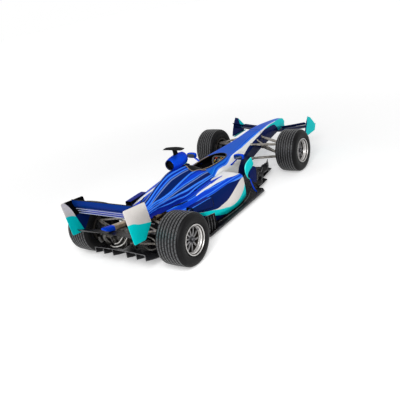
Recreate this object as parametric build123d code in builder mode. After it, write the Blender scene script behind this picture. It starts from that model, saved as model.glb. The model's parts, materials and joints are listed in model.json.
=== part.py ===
from build123d import *
import os

os.makedirs("parts", exist_ok=True)

# An open wheel racing car, in millimetres: +X forward, +Y left, +Z up, standing on the ground
# at z = 0 with the middle of its length at x = 0. Stations run forward from the rear axle.

wheelbase = 2990
nose_reach = 1165           # nose tip ahead of the front axle
wing_reach = 597            # rear wing endplates behind the rear axle
half_track = 910            # outer face of every tyre
tyre_radius = 325
front_tyre_width = 343
rear_tyre_width = 367
floor_bottom = 40
floor_top = 50
floor_half_width = 705
rear_wing_half = 500
front_wing_half = 700
skin = 8                    # thickness of a carbon shell

middle_station = (wheelbase + nose_reach - wing_reach) / 2
nose_station = wheelbase + nose_reach


def at(station):
    """The x of a station."""
    return station - middle_station


def finish(name, label):
    """Label a piece and write it out."""
    name.part.label = label
    export_step(name.part, "parts/" + label + ".step")


def strut(start, end, radius):
    """Add a straight round bar between two (station, y, z) points."""
    foot = Vector(at(start[0]), start[1], start[2])
    head = Vector(at(end[0]), end[1], end[2])
    with BuildSketch(Plane(origin=foot, z_dir=head - foot)) as section:
        Circle(radius)
    extrude(section.sketch, amount=(head - foot).length)


def plate(outline, y_low, y_high):
    """Add an upright plate: an outline of (station, z) corners, from one y to another."""
    with BuildSketch(Plane.XZ.offset(-y_high)) as section:
        with BuildLine():
            Polyline([(at(station), z) for station, z in outline], close=True)
        make_face()
    extrude(section.sketch, amount=y_high - y_low)


def slab(outline, z_low, z_high):
    """Add a level plate: an outline of (station, y) corners, from one height to another."""
    with BuildSketch(Plane.XY.offset(z_low)) as section:
        with BuildLine():
            Polyline([(at(station), y) for station, y in outline], close=True)
        make_face()
    extrude(section.sketch, amount=z_high - z_low)


def block(stations, ys, zs):
    """Add a plain box between two stations, two y and two z values."""
    slab([(stations[0], ys[0]), (stations[1], ys[0]), (stations[1], ys[1]), (stations[0], ys[1])], *zs)


# ---------------------------------------------------------------- survival cell and nose

nose_joint = 3150

# station, half width of the deck, widest half width, half width of the base, base z, shoulder z, deck z
tub_table = [
    (1000, 150, 280, 235, 50, 430, 620),
    (1380, 230, 295, 245, 50, 430, 562),
    (2200, 205, 268, 215, 50, 400, 552),
    (2650, 124, 200, 160, 225, 450, 580),
    (nose_joint, 108, 150, 115, 300, 490, 596),
]
nose_table = [
    (nose_joint, 108, 150, 115, 300, 490, 596),
    (3700, 80, 120, 90, 345, 470, 560),
    (nose_station, 45, 80, 60, 372, 430, 492),
]


def hull_section(row, inset):
    """One six-sided cross-section, pulled in by an inset all round."""
    station, deck, widest, base, base_z, shoulder_z, deck_z = row
    right_side = [
        (base - inset, base_z + inset),
        (widest - inset, shoulder_z),
        (deck - inset, deck_z - inset),
    ]
    left_side = [(-y, z) for y, z in reversed(right_side)]
    with BuildSketch(Plane.YZ.offset(at(station))) as section:
        with BuildLine():
            Polyline(right_side + left_side, close=True)
        make_face()
    return section.sketch


with BuildPart() as tub_form:
    loft([hull_section(row, 0) for row in tub_table], ruled=True)

cockpit_rear = 1410
cockpit_front = 2140
cockpit_half = 195
column_foot = (2190, 0, 430)
column_head = (2050, 0, 480)
rack_station = wheelbase + 85
rack_z = 394

# the inside stops short of both ends, which leaves the two bulkheads
with BuildPart() as tub_cavity:
    loft([hull_section(row, 25) for row in tub_table], ruled=True)
    with Locations((at(1000), 0, 350), (at(nose_joint), 0, 350)):
        Box(50, 700, 700, mode=Mode.SUBTRACT)

with BuildPart() as monocoque:
    add(tub_form.part)
    add(tub_cavity.part, mode=Mode.SUBTRACT)
    # cockpit opening, round at both ends
    with BuildSketch(Plane.XY.offset(480)):
        with Locations((at((cockpit_rear + cockpit_front) / 2), 0)):
            SlotOverall(cockpit_front - cockpit_rear, 2 * cockpit_half)
    extrude(amount=200, mode=Mode.SUBTRACT)
    # the steering rack's rods leave through the sides
    with BuildSketch(Plane.XZ.offset(-300)):
        with Locations((at(rack_station), rack_z)):
            Circle(16)
    extrude(amount=600, mode=Mode.SUBTRACT)
finish(monocoque, "monocoque")

with BuildPart() as nose_form:
    loft([hull_section(row, 0) for row in nose_table], ruled=True)

with BuildPart() as nose_cavity:
    loft([hull_section(row, 12) for row in nose_table], ruled=True)
    with Locations((at(nose_station), 0, 430)):
        Box(40, 300, 300, mode=Mode.SUBTRACT)

with BuildPart() as nose_cone:
    add(nose_form.part)
    add(nose_cavity.part, mode=Mode.SUBTRACT)
finish(nose_cone, "nose_cone")

# ---------------------------------------------------------------- cockpit

with BuildPart() as dash:
    block((2190, 2200), (-300, 300), (80, 600))
    add(tub_cavity.part, mode=Mode.INTERSECT)
    with BuildSketch(Plane.YZ.offset(at(2190))):
        with Locations((0, column_foot[2])):
            Circle(24)
        with Locations((0, 200)):
            SlotOverall(300, 150)
    extrude(amount=10, mode=Mode.SUBTRACT)
finish(dash, "dash")

with BuildPart() as seat:
    plate([(1440, 470), (1462, 470), (1560, 130), (1900, 98), (1900, 78), (1545, 110)], -170, 170)
finish(seat, "seat")

# the padded collar lines the rear of the opening
with BuildPart() as headrest:
    with BuildSketch(Plane.XY.offset(480)):
        with Locations((at((cockpit_rear + cockpit_front) / 2), 0)):
            SlotOverall(cockpit_front - cockpit_rear - 4, 2 * cockpit_half - 4)
            SlotOverall(cockpit_front - cockpit_rear - 110, 2 * cockpit_half - 100, mode=Mode.SUBTRACT)
    extrude(amount=66)
    with Locations((at(2020), 0, 520)):
        Box(700, 500, 200, mode=Mode.SUBTRACT)
finish(headrest, "headrest")

# the wheel is a flat-sided grip frame on a sloping column
column_axis = Vector(column_head[0] - column_foot[0], 0, column_head[2] - column_foot[2]).normalized()
wheel_plane = Plane(
    origin=(at(column_head[0]), 0, column_head[2]),
    x_dir=(0, 1, 0),
    z_dir=column_axis,
)
with BuildPart() as steering_wheel:
    with BuildSketch(wheel_plane):
        RectangleRounded(270, 165, 45)
        with Locations((-102, 0), (102, 0)):
            RectangleRounded(32, 100, 14, mode=Mode.SUBTRACT)
    extrude(amount=28)
    with BuildSketch(wheel_plane):
        Circle(17)
    extrude(amount=-160)
finish(steering_wheel, "steering_wheel")

# ---------------------------------------------------------------- floor

floor_outline = [
    (300, 505), (370, 505), (560, floor_half_width), (2010, floor_half_width), (2090, 640),
    (2090, 560), (2420, 540), (2460, 440), (2860, 390), (2900, 230), (2900, 0),
]
with BuildPart() as floor_plate:
    slab(floor_outline + [(300, 0)], floor_bottom, floor_top)
    mirror(about=Plane.XZ)
    # skid plank along the middle
    block((330, 2860), (-150, 150), (floor_bottom - 14, floor_bottom))
    # upright fins on the edges, ahead of the rear tyres
    fin = [(520, floor_top), (720, floor_top), (740, 300), (530, 345)]
    plate(fin, floor_half_width - 15, floor_half_width - 7)
    plate(fin, 7 - floor_half_width, 15 - floor_half_width)
finish(floor_plate, "floor")

diffuser_start = 300
diffuser_end = -350
diffuser_half = 410
diffuser_height = 250
strake_foot = 165           # z of the rear corner of each strake
with BuildPart() as diffuser:
    roof = [
        (diffuser_start, floor_bottom), (diffuser_end, diffuser_height - skin),
        (diffuser_end, diffuser_height), (diffuser_start, floor_top),
    ]
    plate(roof, -diffuser_half, diffuser_half)
    # upright strakes hang from the roof
    strake = [
        (diffuser_start - 60, floor_bottom), (diffuser_end, strake_foot),
        (diffuser_end, diffuser_height - 2), (diffuser_start, floor_bottom + 5),
    ]
    for strake_y in (diffuser_half - skin, 264, 110):
        plate(strake, strake_y, strake_y + skin)
        plate(strake, -strake_y - skin, -strake_y)
finish(diffuser, "diffuser")

# ---------------------------------------------------------------- power unit

with BuildPart() as engine:
    block((450, 1000), (-225, 225), (floor_top, 440))
finish(engine, "engine")

# station, half width, low z, high z
gearbox_table = [(450, 150, 120, 440), (0, 125, 200, 430), (-300, 80, 275, 430)]
tail_table = [(-10, 56, 432, 520), (-300, 48, 470, 556), (-520, 38, 540, 600)]
housing_radius = 130        # round cover at the rear of the gearbox
housing_z = 372


def casting(table):
    """The rectangular sections of a tapering casting, one for each row of its table."""
    for station, half_width, low, high in table:
        with BuildSketch(Plane.YZ.offset(at(station))) as section:
            with Locations((0, (low + high) / 2)):
                Rectangle(2 * half_width, high - low)
        yield section.sketch


with BuildPart() as gearbox:
    loft(list(casting(gearbox_table)), ruled=True)
    with BuildSketch(Plane.YZ.offset(at(-310))):
        with Locations((0, housing_z)):
            Circle(housing_radius)
    extrude(amount=130)
finish(gearbox, "gearbox")

with BuildPart() as crash_structure:
    loft(list(casting(tail_table)), ruled=True)
    add(gearbox.part, mode=Mode.SUBTRACT)
finish(crash_structure, "crash_structure")

exhaust_plane = Plane(origin=(at(380), 215, 480), z_dir=(-1, 0.05, 0.2))
exhaust_length = 330
with BuildPart() as exhaust_form:
    with BuildSketch(exhaust_plane):
        Circle(45)
    extrude(amount=exhaust_length)
    mirror(about=Plane.XZ)

with BuildPart() as exhausts:
    with BuildSketch(exhaust_plane):
        Circle(44)
        Circle(40, mode=Mode.SUBTRACT)
    extrude(amount=exhaust_length)
    mirror(about=Plane.XZ)
finish(exhausts, "exhausts")

with BuildPart() as radiators:
    plate([(1320, 90), (1380, 90), (1190, 385), (1130, 385)], 320, 455)
    mirror(about=Plane.XZ)
finish(radiators, "radiators")

# ---------------------------------------------------------------- bodywork

pod_front = 1205
pod_rear = 845
pod_z = 848
# station, outer radius of the round intake pod
pod_table = [(pod_rear, 90), (1000, 113), (1110, 113), (pod_front, 98)]


def pod_profile(inset):
    """The half outline of the pod above its own axis, pulled in by an inset."""
    wall = [(at(station), pod_z + radius - inset) for station, radius in pod_table]
    with BuildSketch(Plane.XZ) as section:
        with BuildLine():
            Polyline([(at(pod_rear), pod_z)] + wall + [(at(pod_front), pod_z)], close=True)
        make_face()
    return section.sketch


pod_axis = Axis((at(pod_rear), 0, pod_z), (1, 0, 0))
with BuildPart() as pod_form:
    revolve(pod_profile(0), axis=pod_axis)

with BuildPart() as airbox:
    add(pod_form.part)
    block((1010, 1180), (-55, 55), (621, pod_z))
    revolve(pod_profile(skin), axis=pod_axis, mode=Mode.SUBTRACT)
finish(airbox, "airbox")

camera_station = 960
camera_z = 1020
with BuildPart() as camera_winglet:
    block((camera_station - 30, camera_station + 60), (-14, 14), (pod_z + 60, camera_z))
    add(pod_form.part, mode=Mode.SUBTRACT)
    slab([(camera_station - 55, -150), (camera_station + 70, -130), (camera_station + 70, 130),
          (camera_station - 55, 150)], camera_z, camera_z + 22)
finish(camera_winglet, "camera_winglet")

# station, spine z, flank y, flank z, hip y, hip z, hem z
cover_table = [
    (995, 700, 120, 610, 296, 500, 440),
    (840, 775, 110, 610, 296, 480, 430),
    (600, 715, 100, 570, 290, 450, 420),
    (250, 585, 90, 505, 225, 466, 446),
    (0, 530, 60, 490, 150, 466, 446),
]


def cover_section(row, inset):
    """One peaked cross-section of the engine cover, pulled in by an inset."""
    station, spine_z, flank_y, flank_z, hip_y, hip_z, hem_z = row
    half = [
        (hip_y - inset, hem_z),
        (hip_y - inset, hip_z - inset),
        (flank_y - inset, flank_z - inset),
        (14 - inset / 2, spine_z - inset),
    ]
    other = [(-y, z) for y, z in reversed(half)]
    with BuildSketch(Plane.YZ.offset(at(station))) as section:
        with BuildLine():
            Polyline(half + other, close=True)
        make_face()
    return section.sketch


with BuildPart() as cover_cavity:
    loft([cover_section(row, skin) for row in cover_table], ruled=True)

with BuildPart() as engine_cover:
    loft([cover_section(row, 0) for row in cover_table], ruled=True)
    add(cover_cavity.part, mode=Mode.SUBTRACT)
    add(pod_form.part, mode=Mode.SUBTRACT)
    add(exhaust_form.part, mode=Mode.SUBTRACT)
finish(engine_cover, "engine_cover")

# station, inner y, base y, outer y, base z, waist z, shoulder z, top y, top z, inner z
sidepod_table = [
    (1660, 305, 545, 615, 85, 150, 420, 570, 466, 474),
    (1250, 300, 500, 620, 55, 175, 405, 560, 455, 500),
    (800, 300, 400, 585, 55, 235, 395, 500, 440, 480),
    (330, 300, 330, 435, 230, 305, 385, 395, 410, 425),
]


def sidepod_section(row, inset):
    """One cross-section of the left sidepod, undercut along its base, pulled in by an inset."""
    station, inner_y, base_y, outer_y, base_z, waist_z, shoulder_z, top_y, top_z, inner_z = row
    with BuildSketch(Plane.YZ.offset(at(station))) as section:
        with BuildLine():
            Polyline(
                (inner_y + inset, base_z + inset),
                (base_y - inset, base_z + inset),
                (outer_y - inset, waist_z),
                (outer_y - inset, shoulder_z),
                (top_y, top_z - inset),
                (inner_y + inset, inner_z - inset),
                close=True,
            )
        make_face()
    return section.sketch


with BuildPart() as sidepod_duct:
    loft([sidepod_section(row, skin) for row in sidepod_table], ruled=True)

with BuildPart() as sidepod_form:
    loft([sidepod_section(row, 0) for row in sidepod_table], ruled=True)

with BuildPart() as sidepod_left:
    add(sidepod_form.part)
    add(sidepod_duct.part, mode=Mode.SUBTRACT)
finish(sidepod_left, "sidepod_left")

with BuildPart() as sidepod_right:
    mirror(sidepod_left.part, about=Plane.XZ)
finish(sidepod_right, "sidepod_right")

# box ducts that stand out from the shoulders of the sidepods, open at the rear
with BuildPart() as winglets:
    block((600, 1000), (480, 622), (380, 468))
    add(sidepod_form.part, mode=Mode.SUBTRACT)
    mirror(about=Plane.XZ)
finish(winglets, "winglets")

with BuildPart() as mirrors:
    block((1900, 1955), (345, 490), (562, 630))
    strut((1930, 400, 575), (1930, 220, 440), 12)
    add(tub_form.part, mode=Mode.SUBTRACT)
    mirror(about=Plane.XZ)
finish(mirrors, "mirrors")

with BuildPart() as turning_vanes:
    blade = [(1960, floor_top), (2060, floor_top), (2010, 300), (1985, 578), (1790, 470), (1830, 313)]
    plate(blade, 585, 597)
    mirror(about=Plane.XZ)
finish(turning_vanes, "turning_vanes")

# station of the front, station of the rear, y, height
vane_table = [(2850, 2520, 350, 215), (2800, 2480, 385, 190), (2400, 2140, 500, 260)]
with BuildPart() as barge_vanes:
    for front, rear, vane_y, height in vane_table:
        plate([(rear, floor_top), (front - 60, floor_top), (front, height), (rear + 60, height)],
              vane_y, vane_y + skin)
    mirror(about=Plane.XZ)
finish(barge_vanes, "barge_vanes")

# ---------------------------------------------------------------- rear wing

endplate_outline = [(-wing_reach, 925), (-245, 880), (-208, 616), (-363, 465), (-545, 488)]
with BuildPart() as rear_endplates:
    plate(endplate_outline, rear_wing_half - 10, rear_wing_half)
    mirror(about=Plane.XZ)
finish(rear_endplates, "rear_endplates")

# nose station, nose z, tail station, tail z, thickness at the nose
wing_elements = [(-235, 690, -420, 772, 26), (-385, 790, -470, 838, 16), (-430, 850, -520, 915, 16)]
with BuildPart() as rear_wing:
    for nose_s, nose_z, tail_s, tail_z, thick in wing_elements:
        element = [(nose_s, nose_z), (nose_s, nose_z + thick), (tail_s, tail_z + 5), (tail_s, tail_z)]
        plate(element, -(rear_wing_half - 10), rear_wing_half - 10)
finish(rear_wing, "rear_wing")

with BuildPart() as beam_wing:
    plate([(-350, 490), (-350, 512), (-460, 540), (-460, 534)], -(rear_wing_half - 10), rear_wing_half - 10)
    add(crash_structure.part, mode=Mode.SUBTRACT)
finish(beam_wing, "beam_wing")

# ---------------------------------------------------------------- front wing

front_endplate_outline = [(3560, 330), (3975, 330), (4010, 430), (3850, 600), (3620, 460)]
with BuildPart() as front_endplates:
    plate(front_endplate_outline, front_wing_half - 10, front_wing_half)
    mirror(about=Plane.XZ)
finish(front_endplates, "front_endplates")

wing_root = 110             # half width of the level middle of the front wing
wing_rise = 75              # the tips are this much higher than the middle


def wing_panel(outline):
    """Add one left wing panel, rising from its root to its tip."""
    ends = []
    for panel_y, lift in ((wing_root, 0), (front_wing_half - 10, wing_rise)):
        with BuildSketch(Plane.XZ.offset(-panel_y)) as section:
            with BuildLine():
                Polyline([(at(station), z + lift) for station, z in outline], close=True)
            make_face()
        ends.append(section.sketch)
    loft(ends, ruled=True)


with BuildPart() as front_wing:
    main_plane = [(4090, 322), (4090, 342), (3800, 356), (3800, 350)]
    plate(main_plane, -wing_root, wing_root)
    wing_panel(main_plane)
    wing_panel([(3820, 366), (3820, 380), (3650, 426), (3650, 420)])
    mirror(about=Plane.XZ)
    # two pillars carry the wing under the nose
    for pillar_y in (-52, 42):
        plate([(3850, 345), (4060, 335), (4080, 400), (3900, 400)], pillar_y, pillar_y + 10)
    add(nose_form.part, mode=Mode.SUBTRACT)
finish(front_wing, "front_wing")

# ---------------------------------------------------------------- suspension

kingpin_y = 620
joint_offset = 95           # upper and lower ball joints above and below the wheel's centre
pin_radius = 8
running_gap = 0.05
arm_radius = 10


def wishbone(axle_station, joint_z, inner_points):
    """Add one left wishbone: an eye on the kingpin and a leg to each inner point."""
    for point in inner_points:
        strut((axle_station, kingpin_y, joint_z), point, arm_radius)
    with BuildSketch(Plane.XY.offset(joint_z - 8)) as eye:
        with Locations((at(axle_station), kingpin_y)):
            Circle(20)
    extrude(eye.sketch, amount=16)
    with BuildSketch(Plane.XY.offset(joint_z - 30)) as bore:
        with Locations((at(axle_station), kingpin_y)):
            Circle(pin_radius + running_gap)
    extrude(bore.sketch, amount=60, mode=Mode.SUBTRACT)


upper_z = tyre_radius + joint_offset
lower_z = tyre_radius - joint_offset

with BuildPart() as front_upper_wishbones:
    wishbone(wheelbase, upper_z, [(3120, 110, 500), (2720, 130, 500)])
    add(tub_form.part, mode=Mode.SUBTRACT)
    mirror(about=Plane.XZ)
finish(front_upper_wishbones, "front_upper_wishbones")

with BuildPart() as front_lower_wishbones:
    wishbone(wheelbase, lower_z, [(3120, 90, 330), (2640, 120, 300)])
    strut((2965, 540, lower_z), (2940, 130, 500), arm_radius)
    block((2935, 3000), (520, 590), (lower_z - 6, lower_z + 6))
    add(tub_form.part, mode=Mode.SUBTRACT)
    mirror(about=Plane.XZ)
finish(front_lower_wishbones, "front_lower_wishbones")

with BuildPart() as rear_upper_wishbones:
    wishbone(0, upper_z, [(200, 90, 410), (-200, 60, 410)])
    add(gearbox.part, mode=Mode.SUBTRACT)
    mirror(about=Plane.XZ)
finish(rear_upper_wishbones, "rear_upper_wishbones")

with BuildPart() as rear_lower_wishbones:
    wishbone(0, lower_z, [(220, 90, 250), (-220, 60, 290)])
    add(gearbox.part, mode=Mode.SUBTRACT)
    mirror(about=Plane.XZ)
finish(rear_lower_wishbones, "rear_lower_wishbones")

with BuildPart() as steering_rack:
    strut((rack_station, -90, rack_z), (rack_station, 90, rack_z), 14)
    strut((rack_station, 85, rack_z), (rack_station, 612, rack_z), 9)
    strut((rack_station, -612, rack_z), (rack_station, -85, rack_z), 9)
finish(steering_rack, "steering_rack")

upright_inner = 585
upright_outer = 725
spindle_radius = 25


def upright(axle_station):
    """Add one left upright: a block with a spindle bore and a pin at its top and its foot."""
    block((axle_station - 45, axle_station + 45), (upright_inner, upright_outer),
          (lower_z + 25, upper_z - 15))
    strut((axle_station, kingpin_y, lower_z - 20), (axle_station, kingpin_y, upper_z + 20), pin_radius)
    with BuildSketch(Plane.XZ.offset(-upright_outer)) as bore:
        with Locations((at(axle_station), tyre_radius)):
            Circle(spindle_radius + running_gap)
    extrude(bore.sketch, amount=upright_outer - upright_inner, mode=Mode.SUBTRACT)


with BuildPart() as front_upright_left:
    upright(wheelbase)
    # steering arm, reaching forward under the end of the track rod
    block((wheelbase + 45, rack_station + 12), (600, 632), (rack_z - 30, rack_z - 18))
finish(front_upright_left, "front_upright_left")

with BuildPart() as front_upright_right:
    mirror(front_upright_left.part, about=Plane.XZ)
finish(front_upright_right, "front_upright_right")

with BuildPart() as rear_uprights:
    upright(0)
    mirror(about=Plane.XZ)
finish(rear_uprights, "rear_uprights")

# ---------------------------------------------------------------- wheels

bead_radius = 168
flange_radius = 182
barrel_radius = 154         # inside of the barrel
hub_radius = 62
spoke_count = 10


def axle_plane(axle_station, side):
    """A plane through the axle: local x runs outward along the axle, local y is the radius."""
    return Plane(origin=(at(axle_station), 0, tyre_radius), x_dir=(0, side, 0), z_dir=(side, 0, 0))


def make_tyre(axle_station, side, width, label):
    """A hollow carcass with a flat tread and round shoulders."""
    inner = half_track - width
    with BuildPart() as tyre:
        with BuildSketch(axle_plane(axle_station, side)):
            with BuildLine():
                FilletPolyline(
                    (inner, 205), (inner, tyre_radius), (half_track, tyre_radius), (half_track, 205),
                    (half_track - 20, flange_radius + 4), (half_track - 20, bead_radius),
                    (inner + 20, bead_radius), (inner + 20, flange_radius + 4),
                    radius=(14, 38, 38, 14, 3, 3, 3, 3), close=True,
                )
            make_face()
            with BuildLine():
                Polyline(
                    (inner + 14, 210), (inner + 14, 285), (inner + 42, tyre_radius - 14),
                    (half_track - 42, tyre_radius - 14), (half_track - 14, 285), (half_track - 14, 210),
                    (half_track - 36, bead_radius - 8), (inner + 36, bead_radius - 8), close=True,
                )
            make_face(mode=Mode.SUBTRACT)
        revolve(axis=Axis((at(axle_station), 0, tyre_radius), (0, side, 0)))
    finish(tyre, label)


def make_wheel(axle_station, side, width, label):
    """A deep barrel with ten spokes set far in, a hub and the spindle behind it."""
    inner = half_track - width
    web = half_track - 135
    spindle_end = 600
    with BuildPart() as wheel:
        with BuildSketch(axle_plane(axle_station, side)):
            with BuildLine():
                Polyline(
                    (inner + 10, barrel_radius), (inner + 10, flange_radius), (inner + 20, flange_radius),
                    (inner + 20, bead_radius), (half_track - 20, bead_radius),
                    (half_track - 20, flange_radius), (half_track - 6, flange_radius),
                    (half_track - 6, barrel_radius + 8), (half_track - 40, barrel_radius),
                    close=True,
                )
            make_face()
            with BuildLine():
                Polyline((web, 0), (web, barrel_radius + 4), (web + 16, barrel_radius + 4),
                         (web + 26, hub_radius), (web + 26, 0), close=True)
            make_face()
            with BuildLine():
                Polyline((spindle_end, 0), (spindle_end, spindle_radius), (web - 40, spindle_radius),
                         (web - 40, hub_radius), (web + 35, hub_radius), (web + 35, 30),
                         (web + 70, 26), (web + 70, 0), close=True)
            make_face()
        revolve(axis=Axis((at(axle_station), 0, tyre_radius), (0, side, 0)))
        # windows between the spokes
        web_centre = (at(axle_station), side * (web - 1), tyre_radius)
        face = Plane(origin=web_centre, x_dir=(1, 0, 0), z_dir=(0, side, 0))
        with BuildSketch(face):
            with PolarLocations(0, spoke_count):
                with BuildLine():
                    Polyline((hub_radius + 8, -12), (barrel_radius - 6, -36), (barrel_radius - 6, 36),
                             (hub_radius + 8, 12), close=True)
                make_face()
        extrude(amount=30, mode=Mode.SUBTRACT)
    finish(wheel, label)


# name, station of the axle, side, tyre width
wheel_table = [
    ("front_left", wheelbase, 1, front_tyre_width),
    ("front_right", wheelbase, -1, front_tyre_width),
    ("rear_left", 0, 1, rear_tyre_width),
    ("rear_right", 0, -1, rear_tyre_width),
]
for corner, axle_station, side, width in wheel_table:
    make_tyre(axle_station, side, width, "tyre_" + corner)
    make_wheel(axle_station, side, width, "wheel_" + corner)

for side, corner in ((1, "left"), (-1, "right")):
    with BuildPart() as driveshaft:
        strut((0, side * 140, tyre_radius), (0, side * 600, tyre_radius), 17)
    finish(driveshaft, "driveshaft_" + corner)
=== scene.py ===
import json
from math import cos, pi, radians, sin

import bmesh
import bpy
import numpy as np
from mathutils import Matrix, Vector


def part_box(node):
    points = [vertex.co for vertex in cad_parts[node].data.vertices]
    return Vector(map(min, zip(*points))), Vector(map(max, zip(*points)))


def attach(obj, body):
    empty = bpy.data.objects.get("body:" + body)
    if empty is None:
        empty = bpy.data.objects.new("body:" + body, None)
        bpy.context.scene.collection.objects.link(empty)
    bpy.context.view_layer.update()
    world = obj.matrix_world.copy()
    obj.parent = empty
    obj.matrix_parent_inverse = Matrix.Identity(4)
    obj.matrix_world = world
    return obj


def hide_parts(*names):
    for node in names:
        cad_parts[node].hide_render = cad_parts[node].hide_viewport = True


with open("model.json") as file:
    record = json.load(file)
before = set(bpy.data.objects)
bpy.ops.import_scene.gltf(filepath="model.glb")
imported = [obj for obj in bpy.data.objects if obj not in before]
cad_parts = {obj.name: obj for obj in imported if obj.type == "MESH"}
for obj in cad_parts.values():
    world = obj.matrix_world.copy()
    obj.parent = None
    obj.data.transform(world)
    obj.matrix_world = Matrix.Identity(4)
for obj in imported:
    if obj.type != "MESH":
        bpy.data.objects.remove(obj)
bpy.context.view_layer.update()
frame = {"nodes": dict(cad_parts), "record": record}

print("frame loaded, nodes:", len(frame["nodes"]))

# stations run forward from the rear axle, in metres
rearLow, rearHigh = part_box("tyre_rear_left")
frontLow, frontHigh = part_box("tyre_front_left")
rearAxleX = (rearLow.x + rearHigh.x) / 2
wheelbase = (frontLow.x + frontHigh.x) / 2 - rearAxleX
axleZ = (rearLow.z + rearHigh.z) / 2
halfTrack = rearHigh.y

# bearing is measured from the nose direction, turn is the roll of the picture
view = {
    "aimStation": .955,
    "aimY": -.333,
    "aimZ": .35,
    "distance": 7.189,
    "bearing": 38.108,
    "height": 21.982,
    "turn": 11.245,
    "focalPixels": 542.024,
    "framePixels": 400,
}


def placeCamera():
    bearing, height, turn = (radians(view[key]) for key in ("bearing", "height", "turn"))
    back = Vector((-cos(bearing) * cos(height), -sin(bearing) * cos(height), sin(height)))
    aim = Vector((rearAxleX + view["aimStation"], view["aimY"], view["aimZ"]))
    right = (-back).cross(Vector((0, 0, 1))).normalized()
    up = right.cross(-back)
    across = cos(turn) * right - sin(turn) * up
    upward = sin(turn) * right + cos(turn) * up
    data = bpy.data.cameras.new("camera")
    data.sensor_width = 36
    data.lens = view["focalPixels"] * data.sensor_width / view["framePixels"]
    data.clip_end = 200
    camera = bpy.data.objects.new("camera", data)
    camera.matrix_world = Matrix((across, upward, back)).transposed().to_4x4()
    camera.location = aim + view["distance"] * back
    bpy.context.scene.collection.objects.link(camera)
    bpy.context.scene.camera = camera


placeCamera()
bpy.context.scene.view_settings.view_transform = "Standard"


def toLinear(hexColour):
    parts = [int(hexColour[k:k + 2], 16) / 255 for k in (1, 3, 5)]
    return tuple(c / 12.92 if c <= .04045 else ((c + .055) / 1.055) ** 2.4 for c in parts) + (1,)


# adds a node with its inputs, each a value or the socket that feeds it, and its settings; gives one output
def addNode(tree, kind, inputs=None, output=0, **settings):
    node = tree.nodes.new("ShaderNode" + kind)
    for key, value in settings.items():
        setattr(node, key, value)
    for key, value in (inputs or {}).items():
        if isinstance(value, bpy.types.NodeSocket):
            tree.links.new(value, node.inputs[key])
        else:
            node.inputs[key].default_value = value
    return node.outputs[output] if len(node.outputs) else node


def newTree(name):
    material = bpy.data.materials.new(name)
    material.use_nodes = True
    tree = material.node_tree
    tree.nodes.clear()
    return material, tree


# joins relief, a grey value depth metres high, and shader to the output
def finishMaterial(material, tree, shaderInputs, relief=None, depth=0):
    if relief is not None:
        shaderInputs["Normal"] = addNode(tree, "Bump", {"Height": relief, "Distance": depth})
    surface = addNode(tree, "BsdfPrincipled", shaderInputs)
    addNode(tree, "OutputMaterial", {"Surface": surface})
    return material


# soft noise in object space, its lumps about size metres across
def grain(tree, size, low=0, high=1, detail=3, stretch=(1, 1, 1), share=(.32, .68)):
    coords = addNode(tree, "TexCoord", output="Object")
    scaled = addNode(tree, "Mapping", {"Vector": coords, "Scale": tuple(k / size for k in stretch)})
    noise = addNode(tree, "TexNoise", {"Vector": scaled, "Scale": 1, "Detail": detail})
    return addNode(tree, "MapRange", {"Value": noise, "From Min": share[0], "From Max": share[1], "To Min": low,
        "To Max": high})


# noise drawn out along a piece's own surface lines; along and across count its lumps
def streaks(tree, along, across, low, high, detail=3):
    flat = addNode(tree, "UVMap", uv_map="surface")
    scaled = addNode(tree, "Mapping", {"Vector": flat, "Scale": (along, across, 1)})
    noise = addNode(tree, "TexNoise", {"Vector": scaled, "Scale": 1, "Detail": detail})
    return addNode(tree, "MapRange", {"Value": noise, "From Min": .32, "From Max": .68, "To Min": low,
        "To Max": high})


# every column is a cubic through its rows, each row's slope taken from the rows beside it
def alongRows(rows, stations):
    rows = np.array(rows, float)
    knots, values = rows[:, 0], rows[:, 1:]
    slopes = np.gradient(values, knots, axis=0)
    k = np.clip(np.searchsorted(knots, stations) - 1, 0, len(knots) - 2)
    gap = (knots[k + 1] - knots[k])[:, None]
    t = (np.asarray(stations) - knots[k])[:, None] / gap
    return ((2 * t ** 3 - 3 * t ** 2 + 1) * values[k] + (t ** 3 - 2 * t ** 2 + t) * gap * slopes[k] +
        (3 * t ** 2 - 2 * t ** 3) * values[k + 1] + (t ** 3 - t ** 2) * gap * slopes[k + 1])


# a cubic through points of a path, evenly shared out between them
def smoothPath(points, count):
    points = np.asarray(points, float)
    rows = np.column_stack([np.arange(len(points)), points])
    return alongRows(rows, np.linspace(0, len(points) - 1, count))


# evenly spaced points of a straight run
def straight(start, end, count=2):
    start, end = np.asarray(start, float), np.asarray(end, float)
    return start + np.linspace(0, 1, count)[:, None] * (end - start)


# a line through corners (rows, corners, 2), each rounded by a parabola over a share of the edges beside it; straight
# runs get a few points of their own
def roundedLine(corners, softness, samples=5, between=3):
    before = np.concatenate([corners[:, :1], corners[:, :-1]], 1)
    after = np.concatenate([corners[:, 1:], corners[:, -1:]], 1)
    soft = np.broadcast_to(np.asarray(softness, float), corners.shape[:2])[..., None]
    start = corners + (before - corners) * soft
    end = corners + (after - corners) * soft
    t = np.linspace(0, 1, samples)[:, None]
    bend = ((1 - t) ** 2 * start[:, :, None] + 2 * t * (1 - t) * corners[:, :, None] + t ** 2 * end[:, :, None])
    t = np.linspace(0, 1, between + 2)[1:-1, None]
    run = end[:, :-1, None] + (start[:, 1:] - end[:, :-1])[:, :, None] * t
    body = np.concatenate([bend[:, 1:-1], run[:, 1:]], 2).reshape(len(corners), -1, 2)
    return np.concatenate([corners[:, :1], run[:, 0], body, corners[:, -1:]], 1)


def place(station, y, z):
    return np.stack(np.broadcast_arrays(rearAxleX + np.asarray(station, float), y, z), -1)


def mirrored(sheet):
    return sheet * [1, -1, 1]


sides = (("left", 1), ("right", -1))


def bothSides(*sheets):
    return [*sheets, *map(mirrored, sheets)]


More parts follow.
